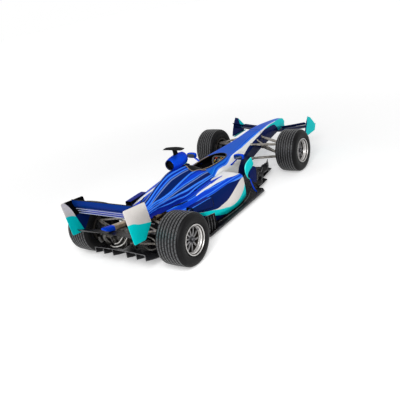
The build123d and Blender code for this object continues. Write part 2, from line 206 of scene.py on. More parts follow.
# cosine and sine of a superellipse: an exponent of 1 is round, a smaller one squares it off
def squared(angle, exponent):
    return [np.sign(k) * np.abs(k) ** exponent for k in (np.cos(angle), np.sin(angle))]


# closes an end of a sheet by gathering its first or last row into its middle
def capped(sheet, first=True, last=True):
    parts = [sheet]
    if first:
        parts.insert(0, np.broadcast_to(sheet[:1].mean(axis=1, keepdims=True), sheet[:1].shape))
    if last:
        parts.append(np.broadcast_to(sheet[-1:].mean(axis=1, keepdims=True), sheet[-1:].shape))
    return np.concatenate(parts)


axes = {"x": (1, 0, 0), "y": (0, 1, 0), "z": (0, 0, 1)}


# an ellipse carried along a path: its wide axis keeps to one direction, its thin one stands square to that; a power
# above 2 squares it off
def sweep(path, wide, thin, across="x", sides=8, power=2):
    path, across = np.asarray(path, float), np.array(axes.get(across, across), float)
    wide, thin = (np.broadcast_to(np.asarray(k, float), len(path))[:, None, None] for k in (wide, thin))
    tangent = np.gradient(path, axis=0)
    tangent /= np.linalg.norm(tangent, axis=1, keepdims=True)
    side = across - (tangent @ across)[:, None] * tangent
    side /= np.linalg.norm(side, axis=1, keepdims=True)
    up = np.cross(tangent, side)
    cosine, sine = squared(np.linspace(0, 2 * pi, sides + 1)[None, :, None], 2 / power)
    return path[:, None] + cosine * wide * side[:, None] + sine * thin * up[:, None]


# a closed rod along (station, y, z) points; with a count they are first joined by a smooth curve
def rod(points, wide, thin=None, across="x", sides=8, count=0, power=2):
    points = smoothPath(points, count) if count else np.asarray(points, float)
    return capped(sweep(place(*points.T), wide, wide if thin is None else thin, across, sides, power))


# a profile of (distance, radius) points turned about a line through centre; axis names the line's direction
def lathe(profile, centre, axis="y", side=1, segments=96):
    profile = np.asarray(profile, float)
    angle = np.linspace(0, 2 * pi, segments + 1)
    along = side * np.broadcast_to(profile[:, :1], (len(profile), segments + 1))
    first, second = profile[:, 1:] * np.cos(angle), profile[:, 1:] * np.sin(angle)
    parts = {"x": (along, first, second), "y": (first, along, second), "z": (first, second, along)}[axis]
    return np.stack(parts, -1) + np.asarray(centre, float)


# a sheet is a grid of points; faces join neighbours. Closed shells get outward normals; an open one faces away from
# core, a (y, z) line along the car inside it
def meshFromSheets(name, sheets, core):
    points, faces, flat, offset = [], [], [], 0
    for sheet in sheets:
        rows, columns = sheet.shape[:2]
        index = np.arange(rows * columns).reshape(rows, columns) + offset
        quads = np.stack([index[:-1, :-1], index[1:, :-1], index[1:, 1:], index[:-1, 1:]], -1)
        if core is not None:
            cross = np.cross(sheet[1:, 1:] - sheet[:-1, :-1], sheet[:-1, 1:] - sheet[1:, :-1])
            centre = (sheet[1:, 1:] + sheet[:-1, :-1] + sheet[:-1, 1:] + sheet[1:, :-1]) / 4
            if (cross[..., 1:] * (centre[..., 1:] - np.asarray(core, float))).sum() < 0:
                quads = quads[..., ::-1]
        points.append(sheet.reshape(-1, 3))
        faces.append(quads.reshape(-1, 4))
        u, v = np.meshgrid(np.linspace(0, 1, rows), np.linspace(0, 1, columns), indexing="ij")
        flat.append(np.stack([u, v], -1).reshape(-1, 2))
        offset += rows * columns
    faces = np.concatenate(faces)
    mesh = bpy.data.meshes.new(name)
    mesh.from_pydata(np.concatenate(points).tolist(), [], faces.tolist())
    mesh.uv_layers.new(name="surface").data.foreach_set("uv", np.concatenate(flat)[faces.ravel()].ravel())
    shape = bmesh.new()
    shape.from_mesh(mesh)
    bmesh.ops.remove_doubles(shape, verts=shape.verts, dist=.00002)
    bmesh.ops.dissolve_degenerate(shape, edges=shape.edges, dist=1e-5)
    if core is None:
        bmesh.ops.recalc_face_normals(shape, faces=shape.faces)
    shape.to_mesh(mesh)
    shape.free()
    mesh.shade_smooth()
    return mesh


# every finish by name: its material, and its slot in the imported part
looks = {}


def addLooks(slot, **finishes):
    looks.update({name: (material, slot) for name, material in finishes.items()})


# makes a piece of sheets with its finish and body; wall thickens an open shell inwards
def addPiece(name, sheets, look, body="chassis", replaces=None, core=None, wall=0, lining=None, edge=0, sharp=35):
    mesh = meshFromSheets(name, sheets, core)
    mesh.materials.append(looks[look][0])
    mesh.set_sharp_from_angle(angle=radians(sharp))
    piece = bpy.data.objects.new(name, mesh)
    bpy.context.scene.collection.objects.link(piece)
    if wall:
        thick = piece.modifiers.new("wall", "SOLIDIFY")
        thick.thickness = wall
        thick.offset = -1
        if lining:
            mesh.materials.append(looks[lining][0])
            thick.material_offset = 1
            thick.material_offset_rim = 1
    if edge:
        bevel = piece.modifiers.new("edge", "BEVEL")
        bevel.width = edge
        bevel.segments = 2
        bevel.limit_method = "ANGLE"
        bevel.angle_limit = radians(40)
    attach(piece, body)
    if replaces:
        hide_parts(replaces)
    return piece


print("helpers ready")


# body colours, with the painted highlight and painted shade tones laid along the folds and edges, and the sizes of the
# paint's own texture
paint = {
    "royalBlue": "#0a45cf",
    # deep blue: laid as painted shade beside the fold crests, and the colour of the duct tops
    "deepBlue": "#042086",
    # the pale blue and silver lines are painted highlights along fold crests and edges
    "paintedHighlightBlue": "#418af8",
    "paintedHighlightSilver": "#7c93c8",
    "deckBlue": "#0a6ad0",
    # painted shade: blue in the hollows between folds, black inside the side ducts
    "paintedShadeBlue": "#08225f",
    "paintedShadeBlack": "#06070a",
    "navy": "#081f58",
    "turquoise": "#04cdcf",
    "paleTurquoise": "#58e6e0",
    "white": "#f2f1ee",
    "warmGrey": "#dad5d1",
    "flakeSize": .003,      # real flake is finer; drawn coarse enough to show
    "peelSize": .012,
    "edgeWidth": .0015,
}
# the stretch of the car that colour lines cover, and the range of their heights or half widths
lineRange = {"stationLow": -.7, "stationHigh": 4.3, "levelLow": -.2, "levelHigh": 1.2}


# station, distance from the middle of the car, and height, as three sockets
def placeSockets(tree):
    coords = addNode(tree, "TexCoord", output="Object")
    x, y, z = (addNode(tree, "SeparateXYZ", {0: coords}, k) for k in range(3))
    return (addNode(tree, "Math", {0: x, 1: rearAxleX}, operation="SUBTRACT"),
        addNode(tree, "Math", {0: y}, operation="ABSOLUTE"), z)


# the level of a line through (station, level) points
def lineHeight(tree, station, points):
    low, high = lineRange["stationLow"], lineRange["stationHigh"]
    bottom, top = lineRange["levelLow"], lineRange["levelHigh"]
    run = addNode(tree, "MapRange", {"Value": station, "From Min": low, "From Max": high})
    value = addNode(tree, "FloatCurve", {"Value": run})
    curve = value.node.mapping
    line = curve.curves[0]
    for _ in range(len(points) - 2):
        line.points.new(.5, .5)
    for point, (along, level) in zip(line.points, sorted(points)):
        point.location = ((along - low) / (high - low), (level - bottom) / (top - bottom))
    curve.update()
    return addNode(tree, "MapRange", {"Value": value, "To Min": bottom, "To Max": top})


# 1 where the level stands above the line, 0 below it
def aboveLine(tree, station, level, points):
    gap = addNode(tree, "Math", {0: level, 1: lineHeight(tree, station, points)}, operation="SUBTRACT")
    edge = paint["edgeWidth"]
    return addNode(tree, "MapRange", {"Value": gap, "From Min": -edge, "From Max": edge})


# a new livery's material and tree, with its place sockets
def newLivery(name):
    material, tree = newTree(name)
    return material, tree, *placeSockets(tree)


# lays a colour over another where the mask is 1, or above a line
def layColour(tree, mask, under, over):
    under, over = (toLinear(paint.get(k, k)) if isinstance(k, str) else k for k in (under, over))
    return addNode(tree, "Mix", {0: mask, 6: under, 7: over}, 2, data_type="RGBA")


def overLine(tree, station, level, points, under, over):
    return layColour(tree, aboveLine(tree, station, level, points), under, over)


# keeps one mask where another is 0
def without(tree, mask, cut):
    return addNode(tree, "Math", {0: mask, 1: cut}, operation="SUBTRACT", use_clamp=True)


# two pack paint on composite panels: a fine flake that twinkles, a thin clear coat and a trace of orange peel
def finishPaint(material, tree, colour, metallic=.45):
    flake = grain(tree, paint["flakeSize"], .92, 1.1, 2)
    cloud = grain(tree, .35, .93, 1.06, 2)
    shade = addNode(tree, "Math", {0: flake, 1: cloud}, operation="MULTIPLY")
    colour = toLinear(colour)[:3] if isinstance(colour, str) else colour
    tinted = addNode(tree, "VectorMath", {0: colour, "Scale": shade}, operation="SCALE")
    return finishMaterial(material, tree, {"Base Color": tinted, "Metallic": metallic, "Roughness": .34,
        "Coat Weight": .03, "Coat Roughness": .04, "Coat IOR": 1.4, "Specular IOR Level": .05,
        "Specular Tint": tinted}, grain(tree, paint["peelSize"], 0, 1, 1), .0001)


def solidPaint(name, hexColour):
    material, tree = newTree(name)
    return finishPaint(material, tree, hexColour)


# woven carbon cloth under resin: black with a faint grey chequer, its 2 mm tows drawn 7 mm wide so that they show
carbonLook = {"towWidth": .007, "dark": "#070708", "light": "#1e1e21", "turn": .72}


def wovenCarbon(name, roughness=.3, light=None, gloss=.1):
    material, tree = newTree(name)
    coords = addNode(tree, "TexCoord", output="Object")
    turned = addNode(tree, "Mapping", {"Vector": coords, "Rotation": (carbonLook["turn"],) * 3,
        "Scale": (1 / carbonLook["towWidth"],) * 3})
    weave = addNode(tree, "TexChecker", {"Vector": turned, "Scale": 1}, 1)
    cloud = grain(tree, .12, 0, .55, 4)
    blend = addNode(tree, "Math", {0: weave, 1: .4, 2: cloud}, operation="MULTIPLY_ADD", use_clamp=True)
    colour = layColour(tree, blend, toLinear(carbonLook["dark"]), toLinear(light or carbonLook["light"]))
    return finishMaterial(material, tree, {"Base Color": colour, "Roughness": roughness, "Coat Weight": gloss * .4,
        "Coat Roughness": .12, "Specular IOR Level": gloss}, weave, .0002)


# machined or cast metal: the grain is the tool marks or the sand of the mould, the stain is heat or grime
def workedMetal(name, hexColour, stainColour, roughness, grainSize, depth, metallic=.9, stretch=(1, 1, 1)):
    material, tree = newTree(name)
    marks = grain(tree, grainSize, 0, 1, 4, stretch)
    stain = grain(tree, .05)
    colour = layColour(tree, stain, toLinear(hexColour), toLinear(stainColour))
    shade = addNode(tree, "MapRange", {"Value": marks, "To Min": .8, "To Max": 1.1})
    worn = addNode(tree, "VectorMath", {0: colour, "Scale": shade}, operation="SCALE")
    rough = addNode(tree, "MapRange", {"Value": marks, "To Min": roughness * .8, "To Max": roughness * 1.25})
    return finishMaterial(material, tree, {"Base Color": worn, "Metallic": metallic, "Roughness": rough}, marks,
        depth)


# turned alloy: rings left by the lathe, drawn 1.5 mm apart, with brake dust in the corners
def turnedAlloy(name, hexColour, roughness, rings=90, metallic=.85):
    material, tree = newTree(name)
    ring = streaks(tree, rings, .6, 0, 1)
    shade = addNode(tree, "MapRange", {"Value": ring, "To Min": .86, "To Max": 1.06})
    dusty = addNode(tree, "Math", {0: shade, 1: grain(tree, .05, 1, .8, 4)}, operation="MULTIPLY")
    colour = addNode(tree, "VectorMath", {0: toLinear(hexColour)[:3], "Scale": dusty}, operation="SCALE")
    rough = addNode(tree, "MapRange", {"Value": ring, "To Min": roughness * .8, "To Max": roughness * 1.25})
    return finishMaterial(material, tree, {"Base Color": colour, "Metallic": metallic, "Roughness": rough}, ring,
        .00012)


# tread rubber: matt charcoal, greyed with use in streaks that run round the tyre
def tyreRubber(name, hexColour, wornColour, roughness, gloss=.22):
    material, tree = newTree(name)
    worn = addNode(tree, "Math", {0: streaks(tree, 60, 9, 0, 1, 4), 1: grain(tree, .09, .3, 1)}, operation="MULTIPLY")
    pebble = grain(tree, .004)
    colour = layColour(tree, worn, toLinear(hexColour), toLinear(wornColour))
    rough = addNode(tree, "MapRange", {"Value": pebble, "To Min": roughness * .85, "To Max": roughness * 1.1})
    return finishMaterial(material, tree, {"Base Color": colour, "Roughness": rough, "Specular IOR Level": gloss},
        pebble, .0003)


# crowns of the tread ribs: dry grey rubber, painted paler than the tread as a highlight, and scored along the way it
# rolls
def scuffedRubber(name, hexColour, wornColour):
    material, tree = newTree(name)
    scores = streaks(tree, 30, 400, 0, 1, 5)
    colour = layColour(tree, scores, toLinear(hexColour), toLinear(wornColour))
    return finishMaterial(material, tree, {"Base Color": colour, "Roughness": .42, "Specular IOR Level": .4}, scores,
        .0002)


# woven or napped cloth on pads and belts, threads drawn 3 mm apart: soft, and paler where it turns away
def paddedCloth(name, hexColour, lightColour, thread=.003):
    material, tree = newTree(name)
    nap = grain(tree, thread, 0, 1, 2)
    blend = addNode(tree, "Math", {0: nap, 1: .5, 2: grain(tree, .05, 0, .5)}, operation="MULTIPLY_ADD",
        use_clamp=True)
    colour = layColour(tree, blend, toLinear(hexColour), toLinear(lightColour))
    return finishMaterial(material, tree, {"Base Color": colour, "Roughness": .85, "Sheen Weight": .2}, nap, .0006)


# moulded plastic or glass in one hue, with the faint mottle of a moulded skin; coat is how wet it looks
def mouldedSkin(name, hexColour, roughness, coat=0, gloss=.5):
    material, tree = newTree(name)
    mottle = grain(tree, .01)
    shade = addNode(tree, "MapRange", {"Value": mottle, "To Min": .9, "To Max": 1.1})
    colour = addNode(tree, "VectorMath", {0: toLinear(hexColour)[:3], "Scale": shade}, operation="SCALE")
    return finishMaterial(material, tree, {"Base Color": colour, "Roughness": roughness, "Coat Weight": coat,
        "Specular IOR Level": gloss}, mottle, .0002)


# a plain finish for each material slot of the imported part
for slot, material in {
    "blue_paint": solidPaint("two_pack_royal_blue", paint["royalBlue"]),
    "navy_paint": solidPaint("two_pack_navy", paint["navy"]),
    "turquoise_paint": solidPaint("two_pack_turquoise", paint["turquoise"]),
    "carbon": wovenCarbon("woven_carbon"),
    "headrest_pad": paddedCloth("headrest_cloth", "#35322f", "#7a746d"),
    "cast_alloy": workedMetal("cast_alloy", "#5f6063", "#3a3a3d", .5, .004, .0004, .75),
    "heat_tinted_metal": workedMetal("heat_tinted_titanium", "#b9a68c", "#7d7064", .38, .02, .0002, .8),
    "brushed_steel": workedMetal("ground_steel", "#a5a5a8", "#7d7d80", .32, .003, .0002),
    "tyre_rubber": tyreRubber("tread_rubber", "#0b0b0c", "#262628", .34),
    "wheel_silver": turnedAlloy("turned_alloy", "#d6d4d2", .32, metallic=.6),
}.items():
    addLooks(slot, **{slot: material})
# pale grey carbon for lips and edge rods is a painted highlight
addLooks("carbon", lining=wovenCarbon("carbon_lining", .45), black=wovenCarbon("matt_carbon", .5, "#0e0e10", .02),
    edge=wovenCarbon("carbon_edge_painted_highlight", .35, "#8b8b8d"))
addLooks("turquoise_paint", pale=solidPaint("two_pack_pale_turquoise", paint["paleTurquoise"]))
slotOfNode = {entry["node"]: entry["material_slot"] for entry in frame["record"]["subparts"]}
for nodeName, node in frame["nodes"].items():
    node.data.materials.clear()
    node.data.materials.append(looks[slotOfNode[nodeName]][0])
print("materials ready")


# half sections of the body: corners run from the middle of the car outwards and down
tub = {
    "front": 3.148,
    "rear": 1.002,
    "openingRear": 1.41,
    "openingFront": 2.14,
    "openingHalf": .166,
    "openingPower": 3,
    "wall": .012,
    # station, deck y z, edge y z, hollow y z, flare y z, side y z, base y z
    "rows": [
        (1, .1, .64, .14, .616, .2, .545, .284, .5, .282, .43, .235, .05),
        (1.38, .192, .578, .222, .564, .25, .526, .296, .49, .288, .43, .245, .05),
        (1.66, .2, .57, .226, .556, .252, .515, .292, .478, .285, .43, .24, .05),
        (1.95, .196, .566, .22, .552, .246, .502, .278, .44, .275, .41, .228, .055),
        (2.2, .18, .564, .203, .552, .228, .49, .262, .42, .258, .39, .215, .07),
        (2.65, .11, .584, .126, .574, .165, .512, .2, .45, .192, .42, .16, .225),
        (3.15, .092, .602, .108, .594, .13, .545, .15, .49, .146, .47, .115, .3),
    ],
    "softness": [0, .45, .4, .42, .4, .4, .3, 0],
}
openingMiddle = (tub["openingRear"] + tub["openingFront"]) / 2
openingReach = (tub["openingFront"] - tub["openingRear"]) / 2
nose = {
    "rear": 3.152,
    "roundFrom": 4.045,
    "tip": 4.153,
    "tipZ": .442,
    "wall": .006,
    # station, deck y z, edge y z, side y z, base y z
    "rows": [
        (3.15, .092, .602, .108, .594, .15, .49, .115, .3),
        (3.45, .08, .59, .096, .581, .136, .48, .103, .322),
        (3.7, .07, .566, .084, .557, .12, .468, .09, .344),
        (3.95, .058, .535, .071, .526, .1, .455, .075, .364),
        (4.16, .046, .502, .058, .492, .082, .44, .062, .38),
    ],
    "softness": [0, .45, .4, .35, .3, 0],
}
cover = {
    "front": 1.4,
    "rear": 0,
    "wall": .004,
    "lift": .007,           # half the height of the step at each fold
    # station, ridge y z, crown y z, shoulder y z, foot y z, hollow y z, hip y z
    "rows": [
        (0, .008, .531, .03, .515, .052, .5, .085, .482, .115, .472, .15, .462),
        (.25, .01, .592, .034, .568, .066, .534, .105, .506, .16, .484, .222, .466),
        (.6, .012, .72, .044, .675, .078, .61, .13, .556, .2, .51, .286, .468),
        (.84, .018, .774, .056, .725, .09, .66, .14, .602, .215, .545, .292, .482),
        (1, .028, .766, .066, .715, .104, .655, .155, .605, .222, .558, .292, .5),
        (1.18, .045, .735, .082, .692, .122, .645, .172, .602, .236, .556, .297, .5),
        (1.3, .062, .685, .098, .655, .135, .625, .186, .592, .244, .55, .3, .498),
        (1.4, .075, .615, .11, .605, .145, .596, .198, .58, .254, .538, .302, .495),
    ],
    "softness": [0, .3, .4, .45, .45, .45, 0],
}
# pressed folds: (station, distance from the middle) points of each crest, then the tones across it, each with the
# distances outwards that it holds; the tones are a painted highlight along each crest and painted shade beside it
folds = {
    "spine": {
        "crest": [(-.1, .006), (.5, .005), (1.5, .006)],
        "tones": [(-.006, -.001, "paintedHighlightSilver"), (.001, .01, "navy"), (.015, "royalBlue")],
    },
    "first": {
        "crest": [(-.1, .018), (.241, .03), (.52, .028), (.72, .03), (.82, .036), (1.05, .045), (1.5, .06)],
        "tones": [(-.009, "royalBlue"), (-.004, 0, "paintedHighlightBlue"), (.002, .008, "deepBlue"), (.014, "royalBlue")],
    },
    "second": {
        "crest": [(-.1, .036), (.283, .056), (.4, .051), (.568, .051), (.77, .058), (.873, .065), (.993, .068),
            (1.142, .076), (1.5, .1)],
        "tones": [(-.009, "royalBlue"), (-.003, 0, "paintedHighlightBlue"), (.002, "deepBlue"), (.006, .008, "paintedHighlightSilver"),
            (.011, .07, "paintedShadeBlue")],
    },
    "third": {
        "crest": [(-.1, .052), (.271, .072), (.365, .08), (.48, .104), (.59, .12), (.689, .13), (.775, .134),
            (.898, .134), (1.032, .13), (1.176, .13), (1.5, .15)],
        "tones": [(-.012, "royalBlue"), (-.005, 0, "paintedHighlightBlue"), (.003, "deepBlue"), (.012, "royalBlue")],
    },
    "fourth": {
        "crest": [(-.1, .068), (.271, .086), (.48, .121), (.616, .14), (.71, .152), (.794, .166), (.917, .178),
            (1.024, .187), (1.136, .194), (1.245, .196), (1.5, .21)],
        "tones": [(-.01, "royalBlue"), (-.003, 0, "paintedHighlightBlue"), (.003, "deepBlue"), (.012, .016, "paintedHighlightSilver"),
            (.02, .045, "paintedShadeBlue")],
    },
    "fifth": {
        "crest": [(-.1, .084), (.246, .108), (.324, .118), (.459, .145), (.573, .172), (.639, .192), (.719, .211),
            (.801, .232), (.899, .247), (1.002, .256), (1.111, .264), (1.223, .271), (1.5, .27)],
        "tones": [(-.014, "royalBlue"), (-.006, 0, "paintedHighlightBlue"), (.003, .05, "deepBlue")],
    },
    "sixth": {
        "crest": [(-.1, .106), (.282, .14), (.397, .174), (.498, .207), (.634, .24), (.76, .276), (1, .284),
            (1.5, .292)],
        "tones": [(-.012, "deepBlue"), (-.005, 0, "paintedHighlightBlue"), (.003, .06, "deepBlue")],
    },
    "flank": {
        "crest": [(.2, .235), (.4, .262), (.56, .296), (.7, .33), (.85, .35), (1, .352), (1.2, .34), (1.7, .3)],
        "tones": [(-.016, "royalBlue"), (-.008, 0, "deepBlue"), (.004, .009, "paintedHighlightBlue"), (.014, .03, "royalBlue")],
    },
    "stripe": {
        "crest": [(.2, .215), (.351, .25), (.396, .27), (.474, .295), (.551, .322), (.613, .347), (.699, .372),
            (.788, .391), (.905, .405), (1, .43), (1.15, .474), (1.366, .5), (1.47, .518), (1.7, .54)],
        "tones": [(-.012, "deepBlue"), (-.005, 0, "paintedHighlightBlue"), (.006, .02, "royalBlue")],
    },
    "shoulder": {
        "crest": [(.2, .37), (.33, .4), (.649, .497), (.823, .513), (1.014, .55), (1.238, .572), (1.52, .6),
            (1.7, .605)],
        "tones": [(-.05, "royalBlue"), (-.042, -.034, "paintedHighlightBlue"), (-.028, -.012, "royalBlue"), (-.006, 0, "paintedHighlightBlue"),
            (.004, "paintedHighlightSilver"), (.008, "navy")],
    },
}
coverFolds = ["spine", "first", "second", "third", "fourth", "fifth", "sixth"]
sidepod = {
    "front": 1.66,
    "rear": .33,
    "wall": .008,
    # station, inner y z, top y z, shoulder y z, waist y z, base y z, keel y z
    "rows": [
        (.33, .242, .462, .36, .436, .428, .388, .44, .318, .39, .245, .262, .225),
        (.6, .289, .466, .448, .448, .522, .398, .54, .262, .45, .12, .302, .095),
        (.82, .294, .482, .498, .452, .578, .402, .594, .215, .52, .06, .302, .054),
        (1.25, .298, .496, .552, .466, .61, .412, .628, .15, .59, .056, .302, .053),
        (1.5, .298, .488, .568, .47, .613, .42, .628, .145, .596, .056, .304, .053),
        (1.66, .296, .478, .57, .464, .61, .42, .62, .16, .58, .072, .306, .07),
    ],
    "softness": [0, .45, .35, .4, .35, 0],
    "core": (.42, .28),
}
# round intake pod: a barrel turned about a level line, its wall folded back inside at both mouths
pod = {
    "rear": .885, "front": 1.195, "z": .855,
    # station, outer radius
    "rows": [(.885, .072), (.94, .085), (1.04, .093), (1.12, .092), (1.195, .081)],
    "lip": .009,
    "throat": .014,
}


def standUp(stations, section):
    return place(np.asarray(stations)[:, None], section[..., 0], section[..., 1])


# half sections from a table; a centred one starts from the middle of the car
def halfSection(piece, stations, samples=6, between=4, centred=True, footed=False):
    corners = alongRows(piece["rows"], stations).reshape(len(stations), -1, 2)
    parts = [corners]
    if centred:
        parts.insert(0, corners[:, :1] * [0, 1])
    if footed:
        parts.append(corners[:, -1:] * [0, 1])
    return roundedLine(np.concatenate(parts, 1), piece["softness"], samples, between)


# half width of the cockpit opening: a superellipse over its length
def openingHalf(stations):
    share = np.clip(np.abs((stations - openingMiddle) / openingReach), 0, 1)
    return tub["openingHalf"] * np.sqrt(1 - share ** tub["openingPower"])


def deckHeight(stations):
    return alongRows(tub["rows"], np.atleast_1d(stations))[:, 1]


# half sections lofted from the middle, or from the edge of the opening, with stations crowded at its ends
def buildTub():
    turn = np.linspace(0, pi, 61)
    stations = np.concatenate([np.linspace(tub["rear"], tub["openingRear"], 13)[:-1],
        openingMiddle - openingReach * np.cos(turn), np.linspace(tub["openingFront"], tub["front"], 25)[1:]])
    corners = alongRows(tub["rows"], stations).reshape(len(stations), -1, 2)
    start = np.stack([openingHalf(stations), corners[:, 0, 1]], -1)[:, None]
    foot = corners[:, -1:] * [0, 1]
    half = standUp(stations, roundedLine(np.concatenate([start, corners, foot], 1), tub["softness"], 6, 4))
    addPiece("tub_skin", bothSides(half), "nose", replaces="monocoque", core=(0, .3), wall=tub["wall"],
        lining="lining")


# half sections lofted by station, then shrunk to the tip as a quarter circle
def buildNose():
    run = np.linspace(nose["rear"], nose["roundFrom"], 40)
    turn = np.linspace(0, pi / 2, 14)[1:]
    stations = np.concatenate([run, nose["roundFrom"] + (nose["tip"] - nose["roundFrom"]) * np.sin(turn)])
    shrink = np.concatenate([np.ones(len(run)), np.cos(turn)])[:, None, None]
    centre = np.array([0, nose["tipZ"]])
    half = standUp(stations, centre + (halfSection(nose, stations, footed=True) - centre) * shrink)
    addPiece("nose_skin", bothSides(half), "nose", replaces="nose_cone", core=(0, .44), wall=nose["wall"],
        lining="lining")


# height over (station, distance from the middle); it climbs slowly to each fold's crest and drops outside it
def buildCover():
    stations = np.linspace(cover["rear"], cover["front"], 110)
    section = halfSection(cover, stations, 9, 7)
    crests = [np.interp(stations, *np.transpose(folds[name]["crest"])) for name in coverFolds]
    hip = section[:, -1, 0]
    edges = np.column_stack([0 * hip] + [np.minimum(crest, hip - .002 * (7 - k)) for k, crest in enumerate(crests)] +
        [hip])
    share = np.array([.05, .1, .25, .42, .6, .78, .92, 1])
    y = (edges[:, :-1, None] + (edges[:, 1:] - edges[:, :-1])[:, :, None] * share).reshape(len(stations), -1)
    rise = np.tile((2 * share ** .8 - 1) * np.clip(share / .1, 0, 1) - (share < .1) * .3, edges.shape[1] - 1)
    room = np.repeat(np.clip((edges[:, 1:] - edges[:, :-1]) / .03, .15, 1), len(share), axis=1)
    calm = np.clip((stations - cover["rear"]) / .2, .3, 1) * np.clip((cover["front"] - stations) / .2, 0, 1)
    z = np.stack([np.interp(row, *line.T) for row, line in zip(y, section)])
    z = z + cover["lift"] * rise * room * calm[:, None] * np.clip((hip[:, None] - y) / .02, 0, 1)
    y, z = np.column_stack([0 * hip, y]), np.column_stack([section[:, 0, 1], z])
    half = place(stations[:, None], y, z)
    addPiece("engine_cover_skin", bothSides(half), "cover", replaces="engine_cover", core=(0, .2), wall=cover["wall"],
        lining="lining", sharp=50)


# half sections lofted by station; the skin climbs to the white stripe and drops outside it
def buildSidepods():
    stations = np.linspace(sidepod["rear"], sidepod["front"], 80)
    section = halfSection(sidepod, stations, 8, 6, centred=False)
    crest = np.interp(stations, *np.transpose(folds["stripe"]["crest"]))[:, None]
    gap = section[..., 0] - crest
    top = (np.arange(section.shape[1]) < section.shape[1] * .42)[None]
    lift = .01 * np.where(gap < 0, np.clip(1 + gap / .12, 0, 1), np.clip(1 - gap / .018, 0, 1) - .3) * top
    calm = np.clip((stations - sidepod["rear"]) / .2, 0, 1) * np.clip((sidepod["front"] - stations) / .2, 0, 1)
    section[..., 1] += lift * calm[:, None]
    left = standUp(stations, section)
    y, z = sidepod["core"]
    for name, side in sides:
        addPiece("sidepod_skin_" + name, [left * [1, side, 1]], name + "Pod", replaces="sidepod_" + name,
            core=(side * y, z), wall=sidepod["wall"], lining="lining", edge=.003)
    # a rolled carbon lip stiffens the rear mouth, with pressed tabs along it
    mouth = left[0] + [.004, 0, 0]
    sheets = [capped(sweep(mouth, .009, .006, "x", 12))]
    for k in range(4, len(mouth) - 6, 5):
        run = straight(mouth[k] - [.03, 0, .004], mouth[k] + [.008, 0, 0], 4)
        sheets.append(capped(sweep(run, .011, .006, "y", 10)))
    addPiece("sidepod_mouth_lips", bothSides(*sheets), "carbon")


# circles of one radius per station, about the level line of the intake pod
def ringAlong(stations, radii, columns=64):
    angle = np.linspace(0, 2 * pi, columns + 1)[None]
    radii = np.asarray(radii)[:, None]
    return place(np.asarray(stations)[:, None], radii * np.cos(angle), pod["z"] + radii * np.sin(angle))


# circles of the table's radii, with a small circle carried round each mouth
def buildAirbox():
    stations = np.linspace(pod["rear"], pod["front"], 28)
    radii = alongRows(pod["rows"], stations)[:, 0]
    addPiece("intake_pod", [ringAlong(stations, radii)], "blue_paint", replaces="airbox", core=(0, pod["z"]),
        wall=pod["throat"], lining="lining")
    for name, station, radius in (("front", pod["front"], radii[-1]), ("rear", pod["rear"], radii[0])):
        turn = np.linspace(0, 2 * pi, 17)
        lip = ringAlong(station + pod["lip"] * .2 * np.cos(turn), radius - .006 + pod["lip"] * .7 * np.sin(turn))
        addPiece("intake_lip_" + name, [lip], "navy_paint")
    trumpet = ringAlong(np.linspace(.93, 1.15, 12), np.linspace(.052, .068, 12))
    addPiece("intake_throat", [capped(trumpet, True, False)], "lining", wall=.002)


# nose and tub: a blue deck with painted highlight lines along its edges, white below it, turquoise flowing back from
# the tip, and navy sides; the first list is a distance from the middle, the others are heights
noseLines = {
    "deck": [(1, .9), (1.092, .353), (1.228, .318), (1.372, .304), (1.495, .278), (1.595, .254), (1.711, .248),
        (1.815, .25), (1.966, .226), (2.1, .196), (2.2, .187), (2.365, .176), (2.572, .147), (2.767, .129),
        (2.953, .121), (3.143, .113), (3.35, .099), (3.56, .082), (3.77, .066), (3.93, .045), (4.06, .016),
        (4.13, -.03)],
    "deckBase": [(1, .4), (2.4, .46), (3.3, .5), (3.9, .47), (4.2, .44)],
    "whiteBase": [(1.3, .1), (1.9, .14), (2.06, .22), (2.109, .317), (2.149, .381), (2.224, .432), (2.333, .455),
        (2.487, .478), (2.644, .503), (2.764, .51), (2.931, .528), (3.091, .541), (3.314, .563), (3.536, .569),
        (3.7, .558), (3.8, .556), (3.9, .6)],
    "turquoiseBase": [(3, .7), (3.2, .6), (3.351, .558), (3.51, .549), (3.662, .527), (3.704, .487), (3.786, .388),
        (3.85, .28), (4.2, 0)],
}


# the deck's tones: painted highlight lines near its edge, between darker blue streaks painted as reflection
folds["deck"] = {
    "crest": noseLines["deck"],
    "tones": [(-.3, -.07, "deckBlue"), (-.064, "royalBlue"), (-.058, -.04, "deckBlue"), (-.036, "paintedHighlightBlue"),
        (-.032, "deckBlue"), (-.014, "royalBlue"), (-.01, 0, "paintedHighlightBlue")],
}


# lays each fold's tones, its painted highlight and painted shade, over the colour so far, outwards from a little inside
# its crest
def foldTones(tree, station, side, colour, names):
    colour = toLinear(paint[colour])
    for name in names:
        tones = [(where, tone) for *spots, tone in folds[name]["tones"] for where in spots]
        low, high = tones[0][0], tones[-1][0]
        height = lineHeight(tree, station, folds[name]["crest"])
        gap = addNode(tree, "Math", {0: side, 1: height}, operation="SUBTRACT")
        share = addNode(tree, "MapRange", {"Value": gap, "From Min": low, "From Max": high})
        ramp = addNode(tree, "ValToRGB", {0: share})
        stops = ramp.node.color_ramp.elements
        for _ in range(len(tones) - 2):
            stops.new(.5)
        for stop, (where, _) in zip(stops, tones):
            stop.position = (where - low) / (high - low)
        for stop, (_, tone) in zip(stops, tones):
            stop.color = toLinear(paint[tone])
        mask = addNode(tree, "MapRange", {"Value": gap, "From Min": low - .001, "From Max": low + .001})
        colour = layColour(tree, mask, colour, ramp)
    return colour


